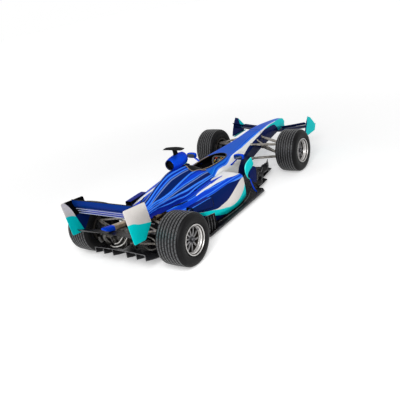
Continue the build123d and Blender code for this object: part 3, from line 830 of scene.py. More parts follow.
def noseLivery(name):
    material, tree, station, side, height = newLivery(name)
    lower = overLine(tree, station, height, noseLines["turquoiseBase"], "navy", "turquoise")
    lower = overLine(tree, station, height, noseLines["whiteBase"], lower, "white")
    deck = foldTones(tree, station, side, "deckBlue", ["deck"])
    inside = without(tree, aboveLine(tree, station, height, noseLines["deckBase"]),
        aboveLine(tree, station, side, noseLines["deck"]))
    return finishPaint(material, tree, layColour(tree, inside, lower, deck))


def coverLivery(name):
    material, tree, station, side, _ = newLivery(name)
    # the cover's colour is painted fold highlights and painted shade over royal blue
    return finishPaint(material, tree, foldTones(tree, station, side, "royalBlue", coverFolds))


# sidepods: blue top whose white stripe widens forward round a blue sliver, navy side, a grey wedge and a turquoise band
# sweeping down and forward; lists named inner or outer are distances, the others are heights
podLines = {
    "whiteInner": [(.6, .6), (.78, .42), (.823, .388), (.938, .374), (1.05, .378), (1.168, .38), (1.225, .365),
        (1.27, .332), (1.325, .31), (1.418, .29), (1.512, .268), (1.7, .24)],
    "whiteOuter": [(.6, .3), (.78, .38), (.823, .396), (.9, .402), (.996, .417), (1.085, .437), (1.199, .45),
        (1.29, .47), (1.386, .491), (1.474, .517), (1.562, .542), (1.7, .56)],
    "sliverInner": [(1.1, .6), (1.165, .45), (1.19, .372), (1.235, .348), (1.272, .334), (1.346, .344), (1.428, .36),
        (1.496, .38), (1.56, .5)],
    "sliverOuter": [(1.1, .3), (1.165, .38), (1.19, .392), (1.252, .392), (1.306, .388), (1.381, .386), (1.479, .387),
        (1.56, .3)],
    "sideTop": [(.3, .4), (.649, .42), (.823, .436), (1.014, .441), (1.238, .447), (1.34, .447), (1.52, .422),
        (1.7, .4)],
    "greyTop": [(.3, .52), (.6, .35), (.85, .275), (.952, .256), (1.042, .261), (1.179, .272), (1.279, .301),
        (1.37, .335), (1.464, .368), (1.565, .4), (1.63, .413), (1.7, .43)],
    "bandTop": [(.3, .5), (.6, .345), (.871, .266), (.952, .236), (1.115, .19), (1.271, .154), (1.391, .16),
        (1.496, .19), (1.591, .239), (1.64, .285), (1.67, .33)],
    "bandBase": [(.3, .44), (.6, .3), (.702, .262), (.82, .208), (.975, .142), (1.09, .102), (1.2, .06), (1.4, .03),
        (1.7, .03)],
}
# on the left the white runs on back to the tail
podLines["leftInner"] = [(.4, .6), (.45, .398), (.55, .384), (.7, .372), (.938, .372)] + podLines["whiteInner"][4:]
podLines["leftOuter"] = [(.4, .3), (.45, .402), (.53, .44), (.62, .452), (.8, .452), (1, .452),
    (1.199, .455)] + podLines["whiteOuter"][7:]


def sidepodLivery(name, inner="whiteInner", outer="whiteOuter"):
    material, tree, station, side, height = newLivery(name)
    # the top takes the painted highlights and painted shade of the flank, stripe and shoulder folds
    top = foldTones(tree, station, side, "royalBlue", ["flank", "stripe", "shoulder"])
    for inner, outer, colour in ((inner, outer, "white"), ("sliverInner", "sliverOuter", "royalBlue")):
        between = without(tree, aboveLine(tree, station, side, podLines[inner]),
            aboveLine(tree, station, side, podLines[outer]))
        top = layColour(tree, between, top, colour)
    flank = "navy"
    for line, colour in (("bandBase", "turquoise"), ("bandTop", "warmGrey"), ("greyTop", "navy"), ("sideTop", top)):
        flank = overLine(tree, station, height, podLines[line], flank, colour)
    return finishPaint(material, tree, flank)


addLooks("blue_paint", nose=noseLivery("two_pack_nose_colours"), cover=coverLivery("two_pack_cover_folds"),
    leftPod=sidepodLivery("two_pack_left_pod_colours", "leftInner", "leftOuter"),
    rightPod=sidepodLivery("two_pack_right_pod_colours"))
buildTub()
buildNose()
buildCover()
buildSidepods()
buildAirbox()
print("body ready")


# thickness of a classic low speed section, and the shares of the chord it belongs to
def airfoil(count=18):
    share = (1 - np.cos(np.linspace(0, pi, count))) / 2
    thick = 5 * (.2969 * np.sqrt(share) - .126 * share - .3516 * share ** 2 + .2843 * share ** 3 - .1036 * share ** 4)
    return share, thick


# an airfoil carried along the span: rows of y, nose station z, tail station z, thickness and camber as chord shares;
# camber bows it downwards
def wingSheet(rows, spanCount=32):
    rows = np.array(rows, float)
    spans = np.linspace(rows[0, 0], rows[-1, 0], spanCount)
    noseS, noseZ, tailS, tailZ, thickness, camber = (k[:, None] for k in alongRows(rows, spans).T)
    share, thick = airfoil()
    share = np.concatenate([share[::-1], share[1:]])
    side = np.concatenate([thick[::-1], -thick[1:]]) * thickness
    chordS, chordZ = tailS - noseS, tailZ - noseZ
    bow = side - camber * 4 * share * (1 - share)
    station = noseS + chordS * share + chordZ * bow
    height = noseZ + chordZ * share - chordS * bow
    return capped(place(station, spans[:, None], height))


rearWing = {
    "half": .488,
    # nose station z, tail station z, thickness, camber
    "elements": {
        "main_plane": (-.232, .7, -.362, .71, .13, .06),
        "slot_blade_low": (-.3, .726, -.37, .742, .13, .06),
        "slot_blade_high": (-.325, .752, -.388, .778, .13, .07),
        "top_flap": (-.362, .778, -.424, .906, .13, .14),
    },
    "endplate": {
        "rows": [(-.597, .925), (-.245, .88), (-.208, .616), (-.363, .465), (-.545, .488)],
        "y": .49, "wall": .009, "edge": .0025,
    },
}
endplateLines = {
    "turquoiseTop": [(-.7, .752), (-.57, .742), (-.5, .727), (-.42, .686), (-.33, .655), (-.2, .615)],
    "innerFront": [(-.66, 1.06), (-.574, .959), (-.469, .807), (-.42, .67), (-.36, .484), (-.3, .3)],
    "navyTop": .695,
}


# a polygon of (station, z) corners filled by smaller copies of its outline; bow rounds out its middle
def plateSheet(corners, y, rings=8, perEdge=8, bow=0, soft=.08):
    corners = np.array(corners, float)
    loop = np.concatenate([corners, corners[:1]])
    middle = corners.mean(axis=0)
    start = (loop[:-1] * (1 - soft) + loop[1:] * soft)
    end = (loop[:-1] * soft + loop[1:] * (1 - soft))
    t = np.linspace(0, 1, perEdge)[None, :, None]
    edges = start[:, None] * (1 - t) + end[:, None] * t
    nextStart = np.roll(start, -1, axis=0)
    turn = np.roll(corners, -1, axis=0)
    t = np.linspace(0, 1, 5)[None, 1:-1, None]
    bends = (1 - t) ** 2 * end[:, None] + 2 * t * (1 - t) * turn[:, None] + t ** 2 * nextStart[:, None]
    outline = np.concatenate([edges, bends], 1).reshape(-1, 2)
    outline = np.concatenate([outline, outline[:1]])
    grow = np.linspace(0, 1, rings)[:, None, None]
    flat = middle + (outline - middle)[None] * grow
    side = y + bow * (1 - grow[..., 0] ** 2)
    return place(flat[..., 0], np.broadcast_to(side, flat.shape[:2]), flat[..., 1])


def endplateOuter(name):
    material, tree, station, _, height = newLivery(name)
    return finishPaint(material, tree, overLine(tree, station, height, endplateLines["turquoiseTop"], "turquoise",
        "warmGrey"))


# the inner face is painted only on its rear strip; ahead of that it is navy under bare carbon
def endplateInner(name):
    material, tree, station, _, height = newLivery(name)
    bare = addNode(tree, "MapRange", {"Value": height, "From Min": endplateLines["navyTop"],
        "From Max": endplateLines["navyTop"] + .004})
    strip = overLine(tree, station, height, endplateLines["turquoiseTop"], "turquoise", "warmGrey")
    front = layColour(tree, bare, "navy", carbonLook["dark"])
    return finishPaint(material, tree, overLine(tree, station, height, endplateLines["innerFront"], strip, front))


# airfoils across the whole span, closed at both ends by upright plates
def buildRearWing():
    half = rearWing["half"]
    for name, section in rearWing["elements"].items():
        rows = [(y, *section) for y in (-half, 0, half)]
        addPiece("rear_" + name, [wingSheet(rows)], "wing" if name == "top_flap" else "blue_paint",
            replaces="rear_wing" if name == "main_plane" else None)
    # a lip along the tail of the top flap and pale sealing strips in the slots
    span = np.linspace(-half, half, 3)
    addPiece("rear_flap_lip", [capped(sweep(place(-.424, span, .909), .003, .006))], "carbon")
    strips = [capped(sweep(place(station, span, height), .007, .005))
        for station, height in ((-.364, .711), (-.372, .743), (-.39, .779))]
    addPiece("rear_slot_strips", strips, "strip")
    look = rearWing["endplate"]
    for name, side in sides:
        sheet = plateSheet(look["rows"], look["y"], bow=.004, soft=.06) * [1, side, 1]
        outerSheet = sheet + [0, side * .0095, 0]
        addPiece("rear_endplate_" + name, [closedPlate(outerSheet, side * -.006)], "plateOuter",
            replaces="rear_endplates" if side == 1 else None, edge=.0015)
        addPiece("rear_endplate_liner_" + name, [closedPlate(sheet, side * .0032)], "plateInner")
    rows = [(y, -.345, .492 + .02 * cos(y * 6), -.472, .536, .24, .1) for y in (-half, -.25, 0, .25, half)]
    addPiece("lower_beam_wing", [wingSheet(rows)], "carbon", replaces="beam_wing")


# a sheet made solid: the same sheet again a little to the side, joined round the rim
def closedPlate(sheet, depth):
    back = sheet + [0, depth, 0]
    return np.concatenate([sheet, back[::-1]])


frontWing = {
    "root": .11, "tip": .688, "rise": .09, "wall": .008,
    "endplate": [(3.545, .35), (3.7, .335), (3.955, .335), (4.005, .42), (3.83, .595), (3.735, .64), (3.66, .56),
        (3.59, .45)],
    "y": .69,
}


# airfoils that sweep back as the square of their distance out and rise as its power of 1.2
def buildFrontWing():
    root, tip, rise = frontWing["root"], frontWing["tip"], frontWing["rise"]

    def spans(noseS, noseZ, tailS, tailZ, thickness, camber, inner):
        rows = []
        for y in (inner, inner + .12, .45, tip):
            lift = rise * ((y - root) / (tip - root)) ** 1.2 if y > root else 0
            sweepBack = .05 * (y / tip) ** 2
            rows.append((y, noseS - sweepBack, noseZ + lift, tailS - sweepBack * .5, tailZ + lift, thickness, camber))
        return rows

    middle = wingSheet([(y, 4.085, .335, 3.8, .352, .09, .05) for y in (-root, 0, root)], 9)
    outer = wingSheet(spans(4.085, .335, 3.8, .352, .09, .05, root))
    addPiece("front_wing_plane", [middle, *bothSides(outer)], "navy_paint", replaces="front_wing")
    flap = wingSheet(spans(3.815, .372, 3.655, .425, .12, .08, root + .04))
    upper = wingSheet(spans(3.76, .428, 3.625, .492, .12, .08, .24))
    addPiece("front_wing_flaps", bothSides(flap) + bothSides(upper), "navy_paint")
    # two bowed pillars hang the wing from the nose
    pillar = rod([(4.04, .052, .4), (4.055, .055, .375), (4.045, .058, .342)], .062, .006, (1, 0, .2), 20, 9)
    addPiece("front_wing_pillars", bothSides(pillar), "turquoise_paint")
    for name, side in sides:
        sheet = plateSheet(frontWing["endplate"], frontWing["y"], bow=.003, soft=.12) * [1, side, 1]
        addPiece("front_endplate_" + name, [closedPlate(sheet, side * .007)], "frontPlate",
            replaces="front_endplates" if side == 1 else None, edge=.0015)
        foot = sweep(place(np.linspace(3.57, 3.96, 12), side * (frontWing["y"] - .02), .338), .026, .004, "y", 12)
        addPiece("front_endplate_foot_" + name, [capped(foot)], "pale")


frontEndplateLine = [(3.3, .7), (3.56, .4), (3.64, .48), (3.7, .6), (3.74, .7), (4.2, 1.3)]
frontEndplateCorner = [(3.4, .9), (3.76, .8), (3.82, .6), (3.87, .44), (3.92, .39), (4.1, .36)]


# outside: turquoise ahead of a slanting line and navy behind it; inside: navy with a turquoise upper corner
def frontEndplateLivery(name):
    material, tree, station, side, height = newLivery(name)
    outside = addNode(tree, "MapRange", {"Value": side, "From Min": frontWing["y"] + .0042,
        "From Max": frontWing["y"] + .0055})
    inner = overLine(tree, station, height, frontEndplateCorner, "navy", "turquoise")
    outer = overLine(tree, station, height, frontEndplateLine, "turquoise", "navy")
    return finishPaint(material, tree, layColour(tree, outside, inner, outer))


addLooks("blue_paint", wing=solidPaint("two_pack_wing_blue", "#07307c"))
addLooks("navy_paint", strip=solidPaint("two_pack_strip_grey", "#b4bcd2"))
addLooks("turquoise_paint", plateOuter=endplateOuter("endplate_colours"),
    frontPlate=frontEndplateLivery("two_pack_endplate_colours"))
addLooks("carbon", plateInner=endplateInner("endplate_inner_face"))
buildRearWing()
buildFrontWing()
print("wings ready")


tyre = {
    # distance in, radius: a sidewall from its bead to the edge of the tread
    "sidewall": [(.024, .183), (.01, .197), (.002, .22), (0, .248), (.004, .274), (.014, .296), (.026, .3085),
        (.036, .313)],
    "treadEdge": .036,
    "treadRadius": .3195,
    "crown": .0052,
    "ribs": 7,
    "ribRows": [0, .055, .095, .19, .28, .4, .5, .6, .72, .81, .905, .945],
    "ribRound": .005,      # how far a rib falls away from its middle to its edges
    "grooveDepth": .01,
    "scuffed": .001,       # how far down from its crown a rib is painted paler as a highlight
    "pitches": 40,
    # where the columns of one pitch stand, and the two stretches that the cross cuts take up
    "columns": [0, .035, .06, .12, .145, .33, .5, .535, .56, .62, .645, .83],
    "cutDepth": .0045,
    "cutReach": (.25, .7),    # the part of its rib that a cut takes up
}


# radius over (distance in, angle): a rounded sidewall with two moulded beads, a crowned tread of rounded ribs with deep
# grooves between them, and short cross cuts that alternate from rib to rib
def tyreSheet(station, side, width):
    wall = smoothPath(tyre["sidewall"], 17)
    wall[:, 0] -= .0012 * sum(np.exp(-((wall[:, 1] - r) / .003) ** 2) for r in (.216, .286)) * (wall[:, 0] > .002)
    edge = tyre["treadEdge"]
    inRib = np.tile(tyre["ribRows"], tyre["ribs"])
    rib = np.repeat(np.arange(tyre["ribs"]), len(tyre["ribRows"]))
    share = np.append((rib + inRib) / tyre["ribs"], 1)
    inRib, rib = np.append(inRib, 1), np.append(rib, tyre["ribs"] - 1)
    across = edge + share * (width - 2 * edge)
    groove = ((inRib < .06) | (inRib > .94)) & (share > 0) & (share < 1)
    dips = tyre["ribRound"] * np.abs(2 * inRib - 1) ** 2.6 + tyre["grooveDepth"] * groove
    cutRow = (inRib > tyre["cutReach"][0]) & (inRib < tyre["cutReach"][1])
    radius = tyre["treadRadius"] + tyre["crown"] * (1 - (2 * share - 1) ** 2) - dips
    columns = np.array(tyre["columns"])
    angle = 2 * pi * np.append((np.arange(tyre["pitches"])[:, None] + columns).ravel() / tyre["pitches"], 1)
    first = np.tile(np.isin(np.arange(len(columns)), (2, 3)), tyre["pitches"])
    second = np.tile(np.isin(np.arange(len(columns)), (8, 9)), tyre["pitches"])
    cuts = np.where((rib % 2 == 0)[:, None], first[None], second[None]) & cutRow[:, None]
    cuts = np.column_stack([cuts, cuts[:, :1]])
    tread = radius[:, None] - tyre["cutDepth"] * cuts
    profile = np.concatenate([wall[:, 0], across, width - wall[::-1, 0], wall[:1, 0]])
    radii = np.concatenate([np.repeat(wall[:, 1:], len(angle), 1), tread, np.repeat(wall[::-1, 1:], len(angle), 1),
        np.repeat(wall[:1, 1:], len(angle), 1)])
    return np.stack([rearAxleX + station + radii * np.cos(angle),
        side * (halfTrack - np.repeat(profile[:, None], len(angle), 1)), axleZ + radii * np.sin(angle)], -1)


wheel = {
    # distance in from the outer face, radius: the lip and the deep dish
    "dish": [(.022, .1825), (.012, .185), (.004, .184), (.002, .18), (.004, .1755), (.01, .1725), (.02, .17),
        (.026, .1655), (.03, .16), (.036, .1565), (.046, .1545), (.06, .153), (.066, .149), (.08, .148), (.16, .148)],
    "shadeFrom": .011, "shadeTo": .026, "shadeInside": .066,
    "web": .07, "discDepth": .15,
    "spokes": 10,
    "hubRadius": .05,
    "spokeWidth": (.0085, .0125),
}


# each corner: its station, its side, and the body that its caliper rides on
corners = [("front_left", wheelbase, 1, "upright_left"), ("front_right", wheelbase, -1, "upright_right"),
    ("rear_left", 0, 1, "chassis"), ("rear_right", 0, -1, "chassis")]


def axleLathe(station, side, profile, segments=96):
    return lathe(profile, (rearAxleX + station, side * halfTrack, axleZ), "y", -side, segments)


# points around the axle: distance in from the outer face, radius and angle
def roundAxle(station, side, depth, radius, angle):
    depth, radius, angle = np.broadcast_arrays(depth, radius, angle)
    return np.stack([rearAxleX + station + radius * np.cos(angle), side * (halfTrack - depth),
        axleZ + radius * np.sin(angle)], -1)


def faceCentres(mesh):
    centres = np.empty(len(mesh.polygons) * 3)
    mesh.polygons.foreach_get("center", centres)
    return centres.reshape(-1, 3)


# the tyre round a turned rim, with ten swept spokes that widen and twist outwards
def buildWheel(corner, station, side):
    body = "wheel_" + corner.split("_")[0][0] + corner.split("_")[1][0]
    low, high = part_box("tyre_" + corner)
    width = high.y - low.y
    tread = addPiece("tyre_" + corner + "_tread", [tyreSheet(station, side, width)], "tyre_rubber", body,
        "tyre_" + corner, sharp=28).data
    # the floors of the grooves and cuts are painted darker, as shade
    for look in ("groove", "scuffed", "sidewall"):
        tread.materials.append(looks[look][0])
    centres = faceCentres(tread) - [rearAxleX + station, side * (halfTrack - width / 2), axleZ]
    radius, out = np.hypot(centres[:, 0], centres[:, 2]), np.abs(centres[:, 1]) / (width / 2 - tyre["treadEdge"])
    fall = tyre["treadRadius"] + tyre["crown"] * (1 - out ** 2) - radius
    share = np.where(out > 1, 3, np.where(fall > tyre["ribRound"] + .0015, 1, np.where(fall < tyre["scuffed"], 2, 0)))
    tread.polygons.foreach_set("material_index", share.astype(np.int32))
    back = [(width - .02, .15), (width - .01, .158), (width - .01, .181), (width - .02, .181), (width - .024, .166),
        (.17, .16), (.06, .166), (.026, .174), (.022, .1825)]
    rim = addPiece("wheel_" + corner + "_rim", [axleLathe(station, side, wheel["dish"] + back)], "wheel_silver", body,
        "wheel_" + corner, sharp=30).data
    # the well behind the lip and the rim's deep inside are dull, and painted dark as shade
    rim.materials.append(looks["well"][0])
    depth = halfTrack - np.abs(faceCentres(rim)[:, 1])
    well = (depth > wheel["shadeFrom"]) & (depth < wheel["shadeTo"]) | (depth > wheel["shadeInside"])
    rim.polygons.foreach_set("material_index", well.astype(np.int32))
    spokes = []
    web = wheel["web"]
    for k in range(wheel["spokes"]):
        angle = 2 * pi * (k + .25) / wheel["spokes"]
        path = smoothPath([(web - .004, wheel["hubRadius"] - .012, angle), (web - .002, .088, angle + .05),
            (web + .01, .1505, angle + .12)], 12)
        points = roundAxle(station, side, path[:, 0], path[:, 1], path[:, 2])
        spokes.append(capped(sweep(points, np.linspace(*wheel["spokeWidth"], 12), .009, (-sin(angle), 0, cos(angle)),
            12, 3)))
    addPiece("wheel_" + corner + "_spokes", spokes, "spoke", body)
    hub = [(.05, 0), (.05, .05), (.01, .054), (-.006, .052), (-.012, .045), (-.014, .034), (-.011, .03),
        (-.034, .028), (-.044, .024), (-.044, .013), (-.034, .011), (-.034, 0)] + np.array([web, 0])
    addPiece("wheel_" + corner + "_hub", [axleLathe(station, side, hub, 48)], "hub", body)
    far = np.array([wheel["discDepth"], 0])
    disc = [(0, .06), (0, .138), (.028, .138), (.028, .06), (0, .06)] + far
    bell = [(.011, 0), (.011, .052), (.018, .064), (.028, .064), (.036, 0)] + far
    addPiece("brake_disc_" + corner, [axleLathe(station, side, disc, 72), axleLathe(station, side, bell, 48)], "disc",
        body)
    # balance weights and the valve inside the dish
    small = []
    for depth, radius, angle, size in ((.028, .166, 2.2, .004), (.044, .157, .4, .006), (.044, .157, .5, .006)):
        start = roundAxle(station, side, depth, radius, angle)
        finish = roundAxle(station, side, depth + .004 + size, radius - .012, angle)
        small.append(capped(sweep(straight(start, finish, 4), size, size, "y", 10)))
    addPiece("wheel_" + corner + "_valve", small, "hub", body)


# suspension arms, all given for the left side
arms = {
    # start station y z, end station y z, half width, half thickness
    "front_upper": [((2.99, .61, .42), (3.12, .118, .498), .037, .015),
        ((2.99, .61, .42), (2.72, .142, .498), .037, .015)],
    "front_lower": [((2.99, .61, .23), (3.12, .112, .328), .037, .015),
        ((2.99, .61, .23), (2.64, .166, .3), .037, .015), ((2.965, .545, .238), (2.94, .14, .496), .022, .014)],
    "rear_upper": [((0, .61, .42), (.2, .135, .41), .024, .011), ((0, .61, .42), (-.2, .1, .412), .024, .011)],
    "rear_lower": [((0, .61, .23), (.22, .136, .25), .024, .009), ((0, .61, .23), (-.22, .09, .29), .024, .009),
        ((.035, .555, .24), (.06, .14, .405), .015, .009)],
}


# titanium sleeves under clear lacquer: faces turned up are painted pale grey, mottled at random, as painted light, and
# faces turned down are painted near black as shade
def armPaintedLightAndShade(name):
    material, tree = newTree(name)
    normal = addNode(tree, "NewGeometry", output="Normal")
    up = addNode(tree, "SeparateXYZ", {0: normal}, 2)
    top = addNode(tree, "MapRange", {"Value": up, "From Min": 0, "From Max": .7})
    litGrey = layColour(tree, grain(tree, .05), "#9d978f", "#57534f")
    colour = layColour(tree, top, toLinear("#1f1d1d"), litGrey)
    return finishMaterial(material, tree, {"Base Color": colour, "Metallic": .45, "Roughness": .4}, grain(tree, .004),
        .0002)


# each arm is a flattened ellipse carried from its ball joint to the tub, fullest a third of the way in
def buildArms():
    taper = .6 + .4 * np.clip(np.sin(pi * np.clip(np.linspace(0, 1, 14) * 1.1, 0, 1)) * 1.6, 0, 1)
    for name, rows in arms.items():
        sheets = []
        for start, end, wide, thin in rows:
            path = straight(start, end, 14)
            sheets.append(rod(path, wide * taper, thin, "x", 18))
            sheets.append(rod(straight(path[-2], path[-1], 3), wide * .9, thin * 1.6, "x", 12))
        station, _, z = rows[0][0]
        sheets.append(lathe([(-.013, .0085), (-.013, .022), (.013, .022), (.013, .0085), (-.013, .0085)],
            (rearAxleX + station, .62, z), "z", 1, 32))
        addPiece(name + "_arms", bothSides(*sheets), "arm", replaces=name + "_wishbones")


# brake scoops and calipers ride with the uprights in front, and with the car at the rear
def buildUprightDetails():
    for corner, station, side, body in corners:
        path = smoothPath([(station + .135, .56, .335), (station + .09, .585, .335), (station + .04, .615, .33)], 10)
        duct = sweep(place(*path.T), np.linspace(.028, .04, 10), np.linspace(.07, .055, 10), "y", 24, 3.2)
        addPiece("brake_duct_" + corner, [duct * [1, side, 1]], "carbon", body, wall=.002, core=(side * .587, .333))
        angles = np.linspace(radians(150), radians(215), 14)
        caliper = capped(sweep(roundAxle(station, side, wheel["discDepth"] + .014, .113, angles), .022, .026, "y", 16,
            3))
        addPiece("brake_caliper_" + corner, [caliper], "cast_alloy", body)


addLooks("tyre_rubber", groove=tyreRubber("groove_rubber_painted_shade", "#060607", "#101011", .8, .1),
    sidewall=tyreRubber("sidewall_rubber", "#060607", "#151516", .5, .12),
    scuffed=scuffedRubber("scuffed_rib_rubber", "#222224", "#5b5b5d"))
addLooks("wheel_silver", well=turnedAlloy("well_alloy_painted_shade", "#37332f", .5, 40, .6),
    # the spokes are a darker alloy than the rim
    spoke=turnedAlloy("darker_spoke_alloy", "#8c8b8c", .34, 12, .6),
    hub=workedMetal("dark_hub_alloy", "#6a6a6e", "#3b3b3e", .42, .004, .0003, .8))
addLooks("brushed_steel", disc=mouldedSkin("brake_carbon", "#070708", .6))
addLooks("heat_tinted_metal", arm=armPaintedLightAndShade("titanium_painted_light_and_shade"))
for corner, station, side, _ in corners:
    buildWheel(corner, station, side)
buildArms()
buildUprightDetails()
print("wheels ready")


cockpit = {
    "rimRadius": .01,
    "pipingRadius": .006,
    "wheelStation": 2.0387, "wheelZ": .484, "wheelTilt": (-.9417, .3363),
    "gripHalfWidth": .116, "gripHalfHeight": .064, "gripRadius": .0125,
    # along the back and base: station, z, half width, depth of the raised sides
    "seat": [(1.462, .47, .12, .035), (1.48, .38, .15, .06), (1.512, .26, .16, .075), (1.56, .16, .162, .085),
        (1.64, .112, .16, .09), (1.76, .1, .15, .075), (1.88, .108, .14, .045)],
}


# the edge of the opening as a closed loop, walked round by an even angle
def rimLoop(count=97, grow=0, start=0, end=2 * pi):
    angle = np.linspace(start, end, count)
    station = openingMiddle + (openingReach + grow) * squared(angle, 2 / tub["openingPower"])[0]
    y = (tub["openingHalf"] + grow) * np.sin(angle)
    return place(station, y, deckHeight(np.clip(station, tub["openingRear"], tub["openingFront"])))


# a point of the steering wheel: sideways, up its face, and out towards the driver
def onWheel(across, up, out):
    leanX, leanZ = cockpit["wheelTilt"]
    across, up, out = np.broadcast_arrays(np.asarray(across, float), up, out)
    return np.stack([rearAxleX + cockpit["wheelStation"] + up * leanZ + out * leanX, across,
        cockpit["wheelZ"] - up * leanX + out * leanZ], -1)


# a flat bottomed grip ring round a display and knobs
def buildSteeringWheel():
    angle = np.linspace(0, 2 * pi, 65)
    across, up = squared(angle, 2 / 3.6)
    across, up = cockpit["gripHalfWidth"] * across, cockpit["gripHalfHeight"] * up
    thick = cockpit["gripRadius"] * (.72 + .38 * np.cos(angle) ** 2)
    grip = sweep(onWheel(across, up, .014), thick, thick, (-.9417, 0, .3363), 18)
    addPiece("steering_wheel_grip", [grip], "grip", "steering_wheel_body", "steering_wheel")
    shell = [onWheel(across * scale * .8, up * scale * .92, out)
        for scale, out in ((0, .024), (.86, .024), (.9, .021), (.9, .008), (.86, .005), (0, .005))]
    addPiece("steering_wheel_plate", [np.stack(shell)], "carbon", "steering_wheel_body")
    column = sweep(onWheel(0, 0, np.linspace(.005, -.15, 8)), .016, .016, "y", 20)
    size = [.04, .036, .026, .017]
    boss = sweep(onWheel(0, 0, np.linspace(.004, -.03, 4)), size, size, "y", 24)
    addPiece("steering_column", [capped(column), capped(boss)], "brushed_steel", "steering_wheel_body")
    knobs = {
        "red": ("#d11a12", [(-.06, .034), (.06, .034), (-.078, -.006)]),
        "yellow": ("#f2c40f", [(-.04, .042), (.078, -.006), (.022, -.036)]),
        "orange": ("#ee6a10", [(.04, .042), (-.05, -.03), (0, -.04)]),
        "green": ("#2aa84a", [(.05, -.03), (-.022, -.036)]),
        "white": ("#e4e4e2", [(-.066, .012), (.066, .012)]),
    }
    size = [.0075, .0075, .007, .004]
    for name, (colour, spots) in knobs.items():
        sheets = [capped(sweep(onWheel(a, b, np.linspace(.02, .033, 4)), size, size, "y", 14)) for a, b in spots]
        addLooks("carbon", **{name: mouldedSkin("knob_" + name, colour, .35, .3)})
        addPiece("wheel_knobs_" + name, sheets, name, "steering_wheel_body")
    edge = np.array([(-1, -1), (1, -1), (1, 1), (-1, 1), (-1, -1)]) * [.03, .017]
    screen = np.stack([onWheel(edge[:, 0] * k, .012 + edge[:, 1] * k, out)
        for k, out in ((0, .0262), (.9, .0262), (1, .0245), (1, .022))])
    addPiece("wheel_display", [screen], "display", "steering_wheel_body")


# a trough whose cross section is a circular arc that deepens towards the hips
def buildSeat():
    rows = smoothPath(cockpit["seat"], 48)
    lean = np.linspace(-1, 1, 33)[None]
    tangent = np.gradient(rows[:, :2], axis=0)
    tangent /= np.linalg.norm(tangent, axis=1, keepdims=True)
    rise = rows[:, 3:4] * (1 - np.cos(lean * 1.35)) / (1 - cos(1.35))
    y = rows[:, 2:3] * np.sin(lean * 1.35) / sin(1.35)
    station = rows[:, 0:1] - tangent[:, 1:] * rise
    height = rows[:, 1:2] + tangent[:, :1] * rise
    addPiece("seat_shell", [place(station, y, height)], "seat", replaces="seat", core=(0, .6), wall=.006)
    # harness: two shoulder belts, two lap belts and a round buckle
    belts = []
    for side in (1, -1):
        run = smoothPath([(1.47, .05, .462), (1.5, .052, .37), (1.54, .048, .24), (1.59, .03, .16),
            (1.64, .012, .14)], 24)
        belts.append(rod((run + [.012, 0, 0]) * [1, side, 1], .024, .0022, "y", 10))
        run = smoothPath([(1.585, .125, .185), (1.61, .09, .15), (1.64, .045, .136), (1.648, .014, .136)], 16)
        belts.append(rod((run + [0, 0, .004]) * [1, side, 1], .022, .0022, "x", 10))
    addPiece("harness_belts", belts, "webbing")
    buckle = lathe([(-.01, 0), (-.01, .026), (.004, .028), (.012, .022), (.012, 0)], (rearAxleX + 1.645, 0, .148),
        "z", 1, 32)
    addPiece("harness_buckle", [buckle], "brushed_steel")


# a rounded pad carried round the rear of the opening, fuller at its middle, with sewn channels across it
def buildHeadrest():
    path = rimLoop(72, -.03, radians(112), radians(248))
    path[:, 2] -= .034
    run = np.linspace(0, 1, 72)
    full = 1 - .45 * np.abs(2 * run - 1) ** 3
    channels = 1 - .1 * sum(np.exp(-((run - k) / .006) ** 2) for k in (.2, .35, .5, .65, .8))
    pad = capped(sweep(path, .021 * full * channels, .03 * channels * (.8 + .2 * full), "z", 28))
    piece = addPiece("headrest_collar", [pad], "headrest_pad", replaces="headrest")
    edge, size = rimLoop(96, -.002, radians(66), radians(294)) + [0, 0, .009], cockpit["pipingRadius"]
    addPiece("headrest_piping", [capped(sweep(edge, size, size, "z", 12))], "piping")


# a thin carbon bead round the whole opening
def buildRim():
    loop = sweep(rimLoop() + [0, 0, .001], cockpit["rimRadius"], cockpit["rimRadius"] * .8, "z", 16)
    addPiece("cockpit_rim", [loop], "carbon")


# mirrors: a superellipse that swells across as a power of a sine, flatter at the glass, on a stalk that flares
mirror = {"station": 1.93, "y": .417, "z": .6, "halfLength": .042, "halfWidth": .079, "halfHeight": .041}


def buildMirrors():
    span, angle = np.linspace(0, pi, 20)[:, None], np.linspace(0, 2 * pi, 41)[None]
    size = np.sin(span) ** .3
    cosine, sine = squared(angle, .55)
    length = np.where(cosine < 0, .45, 1) * mirror["halfLength"]
    pod = place(mirror["station"] - .008 + length * cosine * size, mirror["y"] - mirror["halfWidth"] * np.cos(span),
        mirror["z"] + mirror["halfHeight"] * sine * size)
    flat = np.linspace(0, 1, 6)[:, None]
    cosine, sine = squared(angle, 2 / 3)
    glass = place(mirror["station"] - .0283 - .002 * (1 - flat),
        mirror["y"] + flat * (mirror["halfWidth"] - .013) * cosine,
        mirror["z"] + flat * (mirror["halfHeight"] - .011) * sine)
    glass = np.concatenate([glass, glass[-1:] + [.012, 0, 0]])
    flare = np.linspace(0, 1, 20) ** 6
    stalk = rod([(1.935, .415, .58), (1.935, .372, .556), (1.94, .3, .5), (1.95, .262, .47)], .02 + .034 * flare,
        .009 + .006 * flare, "x", 18, 20)
    addPiece("mirror_pods", bothSides(pod), "blue_paint", replaces="mirrors")
    addPiece("mirror_glasses", bothSides(glass), "glass")
    addPiece("mirror_stalks", bothSides(stalk), "blue_paint")


